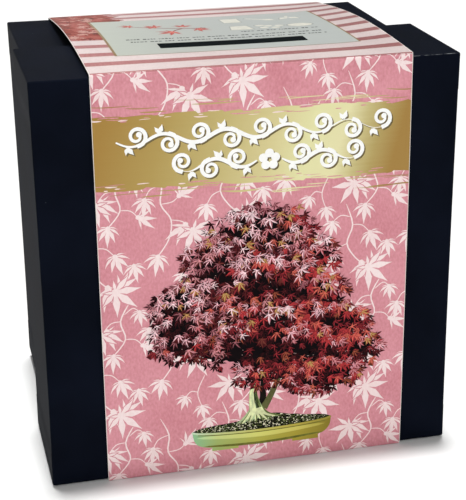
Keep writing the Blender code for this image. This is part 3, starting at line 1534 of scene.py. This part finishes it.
    def build(self) -> None:
        """Print the band with its dry-brush gaps, then the scroll over its shadow."""
        rng = random.Random(41)
        shapes = [self.torn_edge(rng, -1.0) + self.torn_edge(rng, 1.0)[::-1]]
        pink_gaps: list[Shape] = []
        pale_gaps: list[Shape] = []
        for out in (1.0, -1.0):
            shapes += self.strokes(rng, out, 0.6, 4.6, 17, 20.0)
            pink_gaps += self.strokes(rng, out, -2.4, 0.3, 22, 8.0)
            pale_gaps += self.strokes(rng, out, -2.2, 0.2, 12, 5.0)
        self.lay("sleeve_gold_band", self.gold, shapes, self.level)
        scroll = self.scroll()
        for name, ink, parts, lift in (
                ("sleeve_band_gaps", MottledInk("band_gap_print", *PINK_INK), pink_gaps, 0.004),
                ("sleeve_band_glints", PrintedInk("band_glint_print", "#F3DCD8"), pale_gaps, 0.008),
                ("sleeve_scroll_shadow", self.shadow, moved(scroll, self.shadow_fall), 0.012),
                ("sleeve_scroll", self.white, scroll, 0.024)):
            self.lay(name, ink, parts, self.level + lift)


@dataclass(frozen=True)
class Tier:
    """One spreading layer of foliage, an ellipse of half sizes round a centre.

    Sizes are in millimetres. The order is 0 for the layers at the back to 2 for those
    at the front.
    """

    x: float
    z: float
    across: float
    up: float
    order: int


class LeafTone(Enum):
    """Inks that a leaf of one brightness is dealt, as (leaf, lit half, share) rows.

    The first group is for the cool side of the crown, the second for its warm side.
    """

    SHADE = ((("black_red", "maroon", 0.65), ("black_red", "wine", 0.35)),
             (("black_red", "maroon", 0.5), ("black_red", "crimson", 0.2), ("maroon", "wine", 0.3)))
    LOW = ((("maroon", "wine", 0.4), ("maroon", "dusty", 0.25), ("wine", "chestnut", 0.35)),
           (("maroon", "crimson", 0.5), ("wine", "crimson", 0.3), ("maroon", "rust", 0.2)))
    MID = ((("wine", "dusty", 0.35), ("maroon", "rose", 0.25), ("chestnut", "rose", 0.2),
            ("rust", "amber", 0.1), ("crimson", "rose", 0.1)),
           (("crimson", "scarlet", 0.3), ("wine", "scarlet", 0.25), ("crimson", "rose", 0.12),
            ("rust", "coral", 0.15), ("wine", "coral", 0.18)))
    LIT = ((("wine", "silver", 0.34), ("chestnut", "silver", 0.16), ("dusty", "frost", 0.18),
            ("maroon", "frost", 0.16), ("rust", "amber", 0.08), ("scarlet", "rose", 0.08)),
           (("crimson", "coral", 0.32), ("crimson", "rose", 0.26), ("wine", "silver", 0.14),
            ("scarlet", "rose", 0.12), ("scarlet", "coral", 0.08), ("rust", "amber", 0.08)))


@dataclass
class BonsaiPicture(Print):
    """The small bonsai printed on the front: tiers of red leaves over a forked trunk.

    A hollow is a dark gap between the tiers, as its middle, its height and its half sizes.
    """

    leaf_spacing: float = 2.0
    leaf_sizes: tuple[float, float] = (2.3, 3.6)
    level: float = -0.07
    step: float = 0.001
    depths: int = 8
    tray_left: float = -23.5
    tray_right: float = 29.6
    tray_low: float = 8.0
    tray_tip: float = 15.6
    rim_dip: float = 2.0
    soil_heap: float = 2.7
    furrows: int = 30
    grains: int = 820
    mean_light: float = 0.41
    tier_light: float = 0.4
    clump_light: float = 0.5
    leaf_light: float = 0.38
    hollow_dark: float = 0.9
    hidden_below: float = -0.1
    tiers: tuple[Tier, ...] = (
        Tier(3, 90, 19, 12, 1), Tier(-13, 82, 13, 9, 2), Tier(18, 80, 13, 9, 0),
        Tier(5, 74, 18, 9, 2), Tier(-23, 66, 14, 10, 1), Tier(-6, 64, 15, 9, 2),
        Tier(23, 65, 12, 9, 1), Tier(11, 58, 17, 9, 1), Tier(31, 53, 13, 8, 2),
        Tier(-24, 54, 14, 9, 2), Tier(-9, 49, 14, 8, 0), Tier(36, 43, 12, 7, 1),
        Tier(17, 45, 17, 9, 2), Tier(26, 33, 14, 7, 2), Tier(6, 38, 13, 7, 0))
    hollows: tuple[tuple[float, float, float, float], ...] = (
        (3, 71, 17, 7), (17, 66, 9, 4), (1, 47, 15, 8), (-14, 76, 10, 5), (-25, 58, 9, 4),
        (31, 56, 10, 3.5), (20, 45, 17, 5))
    inks: tuple[tuple[str, str], ...] = (
        ("black_red", "#120609"), ("maroon", "#331014"), ("wine", "#571C20"),
        ("chestnut", "#6E362D"), ("crimson", "#8C2A31"), ("rust", "#984E38"),
        ("scarlet", "#B83A3C"), ("dusty", "#9C6068"), ("coral", "#D06656"),
        ("amber", "#BC9A5C"), ("rose", "#D08C92"), ("silver", "#E6B6BE"),
        ("frost", "#F6D6DA"))

    @staticmethod
    def ink(name: str, colour: str) -> PrintedInk:
        """A matt ink of the picture."""
        return PrintedInk(f"{name}_print", colour, 0.55, specular=0.04, uneven=0.16)

    def tone(self, rng: random.Random, x: float, z: float, rise: float) -> LeafTone | None:
        """Brightness of a leaf: lit on a tier's top, dark under it and near the hollows.

        Args:
            rng: the seeded source of small differences.
            x: the leaf's place across, in millimetres.
            z: its height, in millimetres.
            rise: -1 at its tier's bottom to 1 at the top.

        Returns:
            The tone to draw it in, or None inside a hollow.
        """
        clump = noise.noise(Vector((x / 6.0, z / 4.5, 3.0)))
        light = (self.mean_light + self.tier_light * rise + self.clump_light * clump
                 + rng.uniform(-self.leaf_light, self.leaf_light))
        for middle, height, across, up in self.hollows:
            far = math.hypot((x - middle) / across, (z - height) / up)
            light -= self.hollow_dark * max(0.0, 1.0 - far)
        if light < self.hidden_below:
            return None
        for tone, limit in ((LeafTone.SHADE, 0.3), (LeafTone.LOW, 0.46), (LeafTone.MID, 0.68)):
            if light < limit:
                return tone
        return LeafTone.LIT

    def deal(self, rng: random.Random, tone: LeafTone, x: float, z: float) -> tuple[str, str]:
        """Choose a leaf's inks, cooler up and left, warmer down and right.

        Args:
            rng: the seeded source of the choice.
            tone: the leaf's brightness.
            x: its place across, in millimetres.
            z: its height, in millimetres.

        Returns:
            The leaf's ink and its lit half's.
        """
        warmth = 0.42 + (x - 2.0) / 60.0 + (66.0 - z) / 80.0
        warmth += 0.5 * noise.noise(Vector((x / 9.0, z / 9.0, 8.0)))
        rows = tone.value[rng.random() < warmth]
        leaf, lit, _ = rng.choices(rows, [row[2] for row in rows])[0]
        return leaf, lit

    def shade(self) -> list[Shape]:
        """The crown's dark inside, a ragged patch behind each tier.

        Returns:
            The patches.
        """
        rng = random.Random(5)
        shapes: list[Shape] = []
        for tier in self.tiers:
            outline = []
            for i in range(44):
                turn = 2.0 * math.pi * i / 44.0
                reach = rng.uniform(0.62, 0.88)
                outline.append((tier.x + tier.across * reach * math.cos(turn),
                                tier.z + tier.up * reach * math.sin(turn)))
            shapes.append(outline)
        shapes.append(ellipse((4.0, 70.0), 19.0, 22.0, 30))
        shapes.append(ellipse((11.0, 48.0), 21.0, 12.0, 30))
        return shapes

    def leaf_places(self, rng: random.Random, tier: Tier) -> list[Point]:
        """Where a tier's leaves sit: a loose grid, then a ring that frays its rim.

        Args:
            rng: the seeded source of their scatter.
            tier: the layer of foliage.

        Returns:
            Places in shares of the tier's half sizes.
        """
        rows = int(2.0 * tier.up / self.leaf_spacing)
        columns = int(2.0 * tier.across / self.leaf_spacing)
        places = []
        for row in range(rows + 1):
            for column in range(columns + 1):
                across = 2.0 * (column + rng.uniform(-0.1, 1.1)) / columns - 1.0
                rise = 2.0 * (row + rng.uniform(-0.1, 1.1)) / rows - 1.0
                if math.hypot(across, rise) < rng.uniform(0.88, 1.04):
                    places.append((across, rise))
        count = int(2.6 * (tier.across + tier.up) / self.leaf_spacing)
        for i in range(count):
            turn = 2.0 * math.pi * (i + rng.uniform(-0.4, 0.4)) / count
            reach = rng.uniform(0.92, 1.08)
            places.append((reach * math.cos(turn), reach * math.sin(turn)))
        return places

    def foliage(self) -> None:
        """Print the dark inside of the crown, then its leaves from back to front."""
        rng = random.Random(7)
        base = self.level + 0.028
        leaves: dict[tuple[int, str], list[Shape]] = {}
        for tier in self.tiers:
            for across, rise in self.leaf_places(rng, tier):
                x, z = tier.x + tier.across * across, tier.z + tier.up * rise
                tone = self.tone(rng, x, z, rise)
                if tone is None:
                    continue
                depth = 2 * tier.order + list(LeafTone).index(tone)
                lean = -90.0 + 46.0 * across + rng.gauss(0.0, 30.0)
                size, seed = rng.uniform(*self.leaf_sizes), rng.random()
                for ink, lit in zip(self.deal(rng, tone, x, z), (False, True)):
                    leaves.setdefault((depth, ink), []).append(
                        star_leaf(seed, size, (x, z), lean, lit))
        glimpses = [ellipse((tier.x + tier.across * rng.gauss(0.0, 0.36),
                             tier.z - tier.up * rng.uniform(0.1, 0.8)),
                            rng.uniform(0.1, 0.2), rng.uniform(0.1, 0.2), 6)
                    for tier in self.tiers for _ in range(8)]
        top = base + 0.006 + self.step * len(self.inks) * (self.depths - 4)
        self.lay("picture_crown_shade", self.ink("crown_shade", "#0D0609"), self.shade(), base)
        self.press.lay("picture_crown_glimpses", self.ink("crown_glimpses", "#D9B6B4"),
                       [InkPass(glimpses, top)])
        for number, (ink, colour) in enumerate(self.inks):
            passes = [InkPass(leaves[depth, ink],
                              base + 0.004 + self.step * (depth * len(self.inks) + number))
                      for depth in range(self.depths) if (depth, ink) in leaves]
            self.press.lay(f"picture_leaves_{ink}", self.ink(f"leaf_{ink}", colour), passes)

    def trunk(self) -> None:
        """Print the trunk with its fork, spreading roots and furrowed bark."""
        rng = random.Random(11)
        path = ((1.4, 18.4), (0.8, 21.5), (0.0, 25.5), (-0.2, 30.0), (1.5, 38.0), (4.0, 50.0))

        def girth(share: float) -> float:
            """Trunk width at a share of its height."""
            return 6.2 * math.exp(-9.0 * share) + 4.9 * (1.0 - share) + 0.8

        dark_limb = ribbon(((2.6, 23.0), (3.4, 27.0), (3.3, 31.0), (4.2, 38.0)), taper(2.8, 1.8))
        side_limb = ribbon(((3.6, 22.4), (5.4, 25.5), (7.8, 30.5), (10.6, 37.0)), taper(2.9, 1.6))
        bark = [ribbon(path, girth)]
        roots: list[list[Shape]] = [[], [], []]
        for i in range(17):
            reach = -8.2 + 16.8 * i / 16.0 + rng.uniform(-0.5, 0.5)
            foot = (1.6 + reach, 17.5 + reach * 0.1 + rng.uniform(-0.5, 0.5))
            root = ribbon(((0.9 + reach * 0.2, 22.6), (1.1 + reach * 0.5, 19.9), foot),
                          taper(1.7, 0.35))
            roots[i % 3].append(root)
        lines: list[list[Shape]] = [[], []]
        for _ in range(self.furrows):
            offset = rng.uniform(-0.42, 0.42)
            first = rng.randrange(3)
            stretch = path[first:first + 3]
            line = [(x + offset * girth((first + k) / 5.0), z + rng.uniform(-1.0, 1.0))
                    for k, (x, z) in enumerate(stretch)]
            lines[0 if offset > 0.0 else 1].append(ribbon(line, taper(0.42, 0.12)))
        shade = [ribbon([(x + 0.34 * girth(k / 5.0), z) for k, (x, z) in enumerate(path)],
                        lambda share: 0.3 * girth(share))]
        inks = (("dark_limb", "#15120E", [dark_limb], 0.0), ("side_limb", "#5B5C38", [side_limb], 0.002),
                ("bark", "#A9BE8E", bark + roots[0], 0.004),
                ("bark_shade", "#6A7744", shade + roots[1], 0.007),
                ("bark_furrows", "#2E3822", lines[0], 0.01),
                ("bark_light", "#DBE2AE", lines[1] + roots[2], 0.013))
        for name, colour, shapes, lift in inks:
            self.lay(f"picture_{name}", self.ink(name, colour), shapes, self.level + 0.013 + lift)

    @staticmethod
    def opening(share: float) -> float:
        """How wide the tray's oval opening is at a share of its length, 0 to 1."""
        return math.sin(math.pi * share) ** 0.55

    @cached_property
    def rim(self) -> Shape:
        """Points along the near side of the tray's opening."""
        return [(self.tray_left + (self.tray_right - self.tray_left) * i / 24.0,
                 self.tray_tip - self.rim_dip * self.opening(i / 24.0)) for i in range(25)]

    def tray(self) -> None:
        """Print the shallow oval tray with its thin lip and feet."""
        left, right, low, tip = self.tray_left, self.tray_right, self.tray_low, self.tray_tip
        bowl = smooth_path(((left + 0.1, tip), (left + 1.2, low + 3.2), (left + 4.4, low + 1.0),
                            (left + 12.0, low + 0.1), (3.0, low - 0.3), (right - 11.0, low + 0.1),
                            (right - 3.6, low + 1.1), (right - 0.6, low + 4.0),
                            (right - 0.1, tip)), 4) + self.rim[1:-1][::-1]
        feet = [rectangle(x, low - 1.0, x + 10.0, low + 0.6) for x in (left + 7.5, right - 15.0)]
        lip = [ribbon([(x, z - 0.15) for x, z in self.rim], taper(0.8, 0.8), 1)]
        gleam = [ribbon([(left + 1.6, tip - 2.6), (3.0, tip - 4.0), (right - 2.2, tip - 2.7)],
                        lambda share: 1.9 * math.sin(math.pi * share) ** 0.5)]
        places = (left, -14.0, 2.0, 16.0, right)
        for name, colours, shapes, lift in (
                ("tray", ("#8FC495", "#A4B76B", "#B4B150", "#AC9F3C", "#87792B"),
                 [bowl, *feet], 0.0),
                ("tray_lip", ("#C6DFC0", "#C6CF90", "#C6C26A", "#B9AC4C", "#9A8D3C"), lip, 0.007),
                ("tray_gleam", ("#B6DEAD", "#CBD688", "#D8D876", "#CEC463", "#A69A3E"),
                 gleam, 0.005)):
            glaze = GradientInk(f"{name}_glaze_print", tuple(zip(places, colours)),
                                (left - 2.0, right + 2.0), brush_width=0.7, specular=0.06)
            self.lay(f"picture_{name}", glaze, shapes, self.level + lift)

    def soil_top(self, x: float, share: float) -> float:
        """Top of the soil, which mounds up beside the trunk.

        Args:
            x: the place across, in millimetres.
            share: that place as a share of the tray's length.

        Returns:
            The height.
        """
        mound = 1.7 * math.exp(-((x - 7.5) / 6.5) ** 2)
        return self.tray_tip + self.soil_heap * self.opening(share) + mound

    def soil(self) -> None:
        """Print the gritty soil in the tray and the shade under the tray's lip and foot."""
        left, right, low = self.tray_left, self.tray_right, self.tray_low
        shade = [ribbon([(x, z - 0.85) for x, z in self.rim[1:-1]], taper(0.3, 0.3), 1),
                 ribbon([(left + 4.0, low + 1.2), (3.0, low + 0.15), (right - 3.0, low + 1.4)],
                        lambda share: 1.0 * math.sin(math.pi * share) ** 0.4)]
        rng = random.Random(19)
        heap = [(x, self.soil_top(x, i / 24.0) + rng.uniform(-0.2, 0.2))
                for i, (x, _) in list(enumerate(self.rim))[1:-1][::-1]]
        specks: tuple[list[Shape], ...] = ([], [], [])
        for i in range(self.grains):
            share = rng.uniform(0.03, 0.97)
            x = left + (right - left) * share
            low_z = self.tray_tip - self.rim_dip * self.opening(share) + 0.5
            z = low_z + rng.random() * (self.soil_top(x, share) - low_z - 0.2)
            specks[i % 3].append(ellipse((x, z), rng.uniform(0.16, 0.46),
                                         rng.uniform(0.12, 0.3), 6))
        inks = (("soil", "#12120C", [self.rim + heap], 0.0, self.window),
                ("tray_shade", "#6E7030", shade, 0.007, self.window),
                ("grit_pale", "#E3E0C2", specks[0], 0.004, None),
                ("grit_moss", "#56632E", specks[1], 0.006, None),
                ("grit_dark", "#2A2A1E", specks[2], 0.008, None))
        for name, colour, shapes, lift, window in inks:
            self.press.lay(f"picture_{name}", self.ink(name, colour),
                           [InkPass(shapes, self.level + 0.003 + lift, window)])

    def build(self) -> None:
        """Print the whole picture."""
        self.tray()
        self.soil()
        self.trunk()
        self.foliage()


@dataclass
class TopPrint(Print):
    """Stripes, the foliage patch and the framed label on the sleeve's top."""

    crease_line: tuple[float, float] = (-0.3, 0.7)
    first_stripe: float = 9.07
    stripe_pitch: float = 12.3
    stripe_width: float = 4.69
    stripe_count: int = 9
    label_left: float = -42.0
    label_right: float = 44.6
    label_front: float = 20.8
    label_back: float = 87.8
    patch_front: float = 48.0
    patch_leaves: int = 330
    patch_leaf_sizes: tuple[float, float] = (2.4, 4.6)
    stripe_level: float = -0.088
    label_level: float = -0.06
    scuff_level: float = -0.04
    drawing_scale: float = 1.2

    @property
    def crease(self) -> float:
        """Where the top begins along the band, in millimetres."""
        return self.press.form.starts[Panel.TOP] / MM

    def box(self, left: float, front: float, right: float, back: float) -> Shape:
        """A rectangle on the top, measured back from the front crease."""
        return rectangle(left, self.crease + front, right, self.crease + back)

    def stripes(self) -> None:
        """Print the mauve stripes and the thin line along the crease."""
        left, right = self.window.left, self.window.right
        line_front, line_back = self.crease_line
        shapes = [self.box(left, line_front, right, line_back)]
        for i in range(self.stripe_count):
            front = self.first_stripe + self.stripe_pitch * i
            shapes.append(self.box(left, front, right, front + self.stripe_width))
        window = replace(self.window, start=self.window.start + line_front)
        # The stripes carry painted shade, darker towards the right edge where the card curls.
        ink = MottledInk("mauve_stripe_print", "#9D5F5E", "#AF706E", painted_shade_right=0.28,
                         painted_shade_from=-50.0, painted_shade_to=40.0)
        Print(self.press, window).lay("top_stripes", ink, shapes, self.stripe_level)

    def foliage_patch(self) -> None:
        """Print the patch of red leaves behind the label's left edge."""
        rng = random.Random(23)
        left = self.window.left
        front, back = self.patch_front, self.window.end - self.crease

        def edge(v: float) -> float:
            """Right limit of the patch at a distance from the crease."""
            return self.label_left if v < self.label_back else -30.0 + 2.5 * math.sin(0.5 * v)

        border = [(left, back), (left, front + 1.0)]
        for i in range(9):
            x = left + (self.label_left - left) * i / 8.0
            border.append((x, front + rng.uniform(-1.3, 1.3)))
        fray = random.Random(31)
        border += [(edge(self.label_back + v) - fray.uniform(0.0, 3.0), self.label_back + v)
                   for v in np.arange(-1.0, back - self.label_back, 1.1)]
        ground = [[(x, self.crease + v) for x, v in border]]
        tones = (("patch_deep", "#5E241C", 2.2), ("patch_red", "#8C382C", 3.2),
                 ("patch_coral", "#A2544A", 2.2), ("patch_pale", "#BE9086", 0.9))
        leaves: list[list[Shape]] = [[] for _ in tones]
        for _ in range(self.patch_leaves):
            v = rng.uniform(front + 0.5, back - 2.5)
            x = rng.uniform(left + 2.0, edge(v) - 1.5)
            leaf = star_leaf(rng.random(), rng.uniform(*self.patch_leaf_sizes),
                             (x, self.crease + v), rng.uniform(0.0, 360.0))
            rng.choices(leaves, [share for _, _, share in tones])[0].append(leaf)
        under = MottledInk("patch_ground_print", "#76372B", "#954A3C", specular=0.04)
        self.lay("top_patch_ground", under, ground, self.stripe_level + 0.01)
        for number, ((name, colour, _), shapes) in enumerate(zip(tones, leaves)):
            self.lay(f"top_{name}", PrintedInk(f"{name}_print", colour, specular=0.04), shapes,
                     self.stripe_level + 0.016 + 0.004 * number)

    def label(self) -> None:
        """Print the framed label with a dark bar, plain rules and small drawings."""
        frame_box = self.box(self.label_left - 0.9, self.label_front - 0.35,
                             self.label_right + 0.6, self.label_back + 0.3)
        sheet = self.box(self.label_left, self.label_front, self.label_right, self.label_back)
        bar = self.box(-25.4, 28.6, 28.2, 36.4)
        # The label's ink is a touch lighter at its left end, a painted sheen.
        grey = GradientInk("label_print", ((-42.0, "#AFB4A9"), (-22.0, "#ABAFA8"),
                                           (8.0, "#AAAEAA"), (44.0, "#AAAFAB")),
                           (-43.0, 46.0), brush_depth=0.0, roughness=0.46, specular=0.3)
        pieces = (
            ("top_label_border", PrintedInk("label_border_print", "#846A3A"), [frame_box], 0.0),
            ("top_label", grey, [sheet], 0.008),
            ("top_label_bar", PrintedInk("label_bar_print", "#171B1C", specular=0.0), [bar], 0.016),
            ("top_label_rules", PrintedInk("label_rule_print", "#202426", specular=0.02),
             self.rules(), 0.016),
            ("top_label_drawings", PrintedInk("drawing_line_print", "#8F938E"),
             self.drawings(0.5), 0.016),
            ("top_label_drawing_fills", PrintedInk("drawing_fill_print", "#CFCDC0"),
             self.drawings(0.0), 0.022))
        for name, ink, shapes, lift in pieces:
            self.lay(name, ink, shapes, self.label_level + lift)

    def rules(self) -> list[Shape]:
        """Rows of short marks in place of the label's small print.

        Returns:
            The marks.
        """
        rng = random.Random(29)
        shapes = []
        for v, x, end in ((39.7, -34.0, 38.0), (43.9, -35.0, 38.5), (50.4, 9.0, 38.5)):
            while x < end:
                stop = min(x + rng.uniform(2.2, 7.5), end)
                while x < stop:
                    length = rng.uniform(0.5, 1.3)
                    shapes.append(self.box(x, v, x + length, v + rng.uniform(0.8, 1.25)))
                    x += length + 0.35
                x += 0.9
        return shapes

    def drawings(self, grow: float) -> list[Shape]:
        """Small drawings of a pot, seeds, a peat disc, a packet, a trowel and a sprout.

        Args:
            grow: how far each outline is widened, in millimetres.

        Returns:
            The drawings' shapes.
        """
        drawn = (
            [[(-3.6, 3.0), (3.6, 3.0), (2.6, -3.4), (-2.6, -3.4)]],
            [ellipse(middle, 1.5, 1.1, 12) for middle in
             ((-2.4, 1.6), (1.2, 2.2), (3.0, -0.6), (-0.6, -1.0), (-3.0, -2.4))],
            [ellipse((0.0, 0.0), 4.0, 2.6, 18)],
            [rectangle(-2.8, -3.8, 2.8, 3.8)],
            [ribbon(((-4.2, -2.8), (-0.5, -0.3), (1.0, 0.6)), taper(1.0, 1.0)),
             turned(lobe(0.0, 5.2, 0.6, 0.0), (0.6, 0.4), 0.6)],
            [turned(lobe(0.0, 4.6, 0.6, 0.4), (0.0, -0.6), 0.5),
             turned(lobe(0.0, 4.6, 0.6, -0.4), (0.0, -0.6), 2.6),
             ribbon(((0.0, -3.8), (0.0, -0.6)), taper(1.0, 0.8))])
        middles = [(x, self.crease + v) for v in (58.0, 75.0) for x in (10.5, 22.0, 33.5)]
        shapes: list[Shape] = []
        for (x, run), parts in zip(middles, drawn):
            for part in parts:
                reach = max(math.hypot(*corner) for corner in part)
                scale = self.drawing_scale * (1.0 + grow / reach)
                shapes.append([(x + across * scale, run - up * scale) for across, up in part])
        return shapes

    def sprig(self) -> None:
        """Print a twig with red maple leaves on the label's left half."""
        twig = [[(x, self.crease + v) for x, v in ribbon(path, taper(1.0, 0.5))] for path in (
            ((-2.0, 62.0), (-9.0, 62.5), (-20.0, 66.0), (-31.0, 72.0)),
            ((-11.0, 62.5), (-14.0, 59.5), (-15.5, 56.5)))]
        leaves: list[Shape] = []
        highlights: list[Shape] = []
        for x, v, size, angle in ((-15.5, 56.0, 7.2, 205.0), (-5.5, 60.0, 5.8, -35.0),
                                  (-20.0, 68.0, 6.2, 130.0), (-29.0, 72.0, 5.0, 168.0),
                                  (-10.0, 67.0, 5.2, 72.0)):
            leaves += maple_leaf(LeafView.OPEN, size, (x, self.crease + v), angle)
            highlights += maple_leaf(LeafView.OPEN, size * 0.5, (x + 0.3, self.crease + v + 0.2),
                                     angle)
        for name, colour, shapes, lift in (("top_sprig_twig", "#7E4440", twig, 0.016),
                                           ("top_sprig_leaves", "#AE4640", leaves, 0.022),
                                           ("top_sprig_lights", "#CB7365", highlights, 0.028)):
            self.lay(name, PrintedInk(f"{name}_print", colour, specular=0.05), shapes,
                     self.label_level + lift)

    def scuff(self) -> None:
        """Rub the coating off at the crease's right end, down to the white board."""
        right = self.window.right
        shape = [(right - 1.1, self.crease - 0.2), (right - 0.5, self.crease - 0.5),
                 (right, self.crease - 0.45), (right, self.crease + 1.1),
                 (right - 0.6, self.crease + 0.7)]
        self.press.lay("corner_scuff", BleachedBoard("scuffed_folding_board"),
                       [InkPass([shape], self.scuff_level)])

    def build(self) -> None:
        """Print the whole top."""
        self.stripes()
        self.foliage_patch()
        self.label()
        self.sprig()
        self.scuff()


# The studio


@dataclass(frozen=True)
class Studio:
    """Pale floor, soft light and the camera."""

    focal_length: float = 102.24
    location: tuple[float, float, float] = (-0.114165, -0.509414, 0.265013)
    forward: tuple[float, float, float] = (0.215091, 0.907659, -0.360404)
    up: tuple[float, float, float] = (0.094812, 0.347891, 0.932729)
    floor_reach: float = 3.0
    turn_radius: float = 1.0
    backdrop_height: float = 3.0
    key_strength: float = 3.15
    key_lean: float = 3.4
    key_softness: float = 5.4
    world_strength: float = 0.12
    fill_power: float = 1.5
    rear_power: float = 4.5

    def camera(self) -> None:
        """Set the camera to the picture's view."""
        data = bpy.data.cameras.new("camera")
        data.sensor_width = 36.0
        data.lens = self.focal_length
        data.clip_start = 0.01
        data.clip_end = 50.0
        camera = add_object("camera", data)
        forward = Vector(self.forward).normalized()
        right = forward.cross(Vector(self.up)).normalized()
        up = right.cross(forward)
        turn = Matrix((right, up, -forward)).transposed().to_4x4()
        camera.matrix_world = Matrix.Translation(self.location) @ turn
        bpy.context.scene.camera = camera

    def floor(self) -> None:
        """Lay a wide floor that turns up softly behind."""
        reach, radius = self.floor_reach, self.turn_radius
        profile = [(-reach, 0.0), (reach, 0.0)]
        for i in range(1, 13):
            turn = math.radians(90.0 * i / 12.0)
            profile.append((reach + radius * math.sin(turn), radius - radius * math.cos(turn)))
        profile.append((reach + radius, self.backdrop_height))
        points = [(x, y, z) for y, z in profile for x in (-reach, reach)]
        faces = [(i, i + 1, i + 3, i + 2) for i in range(0, len(points) - 2, 2)]
        mesh = smooth_mesh("studio_floor", points, faces)
        mesh.materials.append(StudioSweep().material())
        add_object("studio_floor", mesh)

    def lights(self) -> None:
        """Hang a key overhead, a fill before the box and a low soft box behind it."""
        lean, spread = math.radians(self.key_lean), math.radians(self.key_softness)
        for name, kind, place, target, values in (
                ("overhead_key", "SUN", (0.0, math.sin(lean), math.cos(lean)), (0.0, 0.0, 0.0),
                 {"energy": self.key_strength, "angle": spread}),
                ("front_fill", "AREA", (-0.05, -0.6, 0.4), (0.0, -0.05, 0.1),
                 {"energy": self.fill_power, "size": 0.3}),
                ("rear_soft_box", "AREA", (-0.3, 2.2, 0.95), (0.0, 0.0, 0.15),
                 {"energy": self.rear_power, "size": 1.6})):
            data = bpy.data.lights.new(name, kind)
            for key, value in values.items():
                setattr(data, key, value)
            light = add_object(name, data)
            light.location = place
            facing = Vector(target) - Vector(place)
            light.rotation_euler = facing.to_track_quat("-Z", "Y").to_euler()
        world = bpy.data.worlds.new("pale_studio")
        world.use_nodes = True
        back = world.node_tree.nodes["Background"]
        back.inputs["Color"].default_value = linear("#FFFFFF")
        back.inputs["Strength"].default_value = self.world_strength
        bpy.context.scene.world = world

    def build(self) -> None:
        """Set up the studio."""
        bpy.context.scene.view_settings.view_transform = "Standard"
        self.camera()
        self.floor()
        self.lights()


def main() -> None:
    """Build the box, the sleeve, its print and the studio."""
    logging.basicConfig(level=logging.INFO, format="%(name)s %(message)s")
    WrappedTray("lid", open_towards=1).build()
    WrappedTray("base", open_towards=-1).build()
    form = SleeveForm.from_frame()
    press = Press(form)
    SleeveCard(form).build()
    grounds = Grounds(press)
    grounds.build()
    pink, pale = grounds.windows()
    MapleRepeat(press, pink).build()
    GoldBand(press, pink).build()
    BonsaiPicture(press, pink).build()
    TopPrint(press, pale).build()
    Studio().build()


if __name__ == "__main__":
    main()
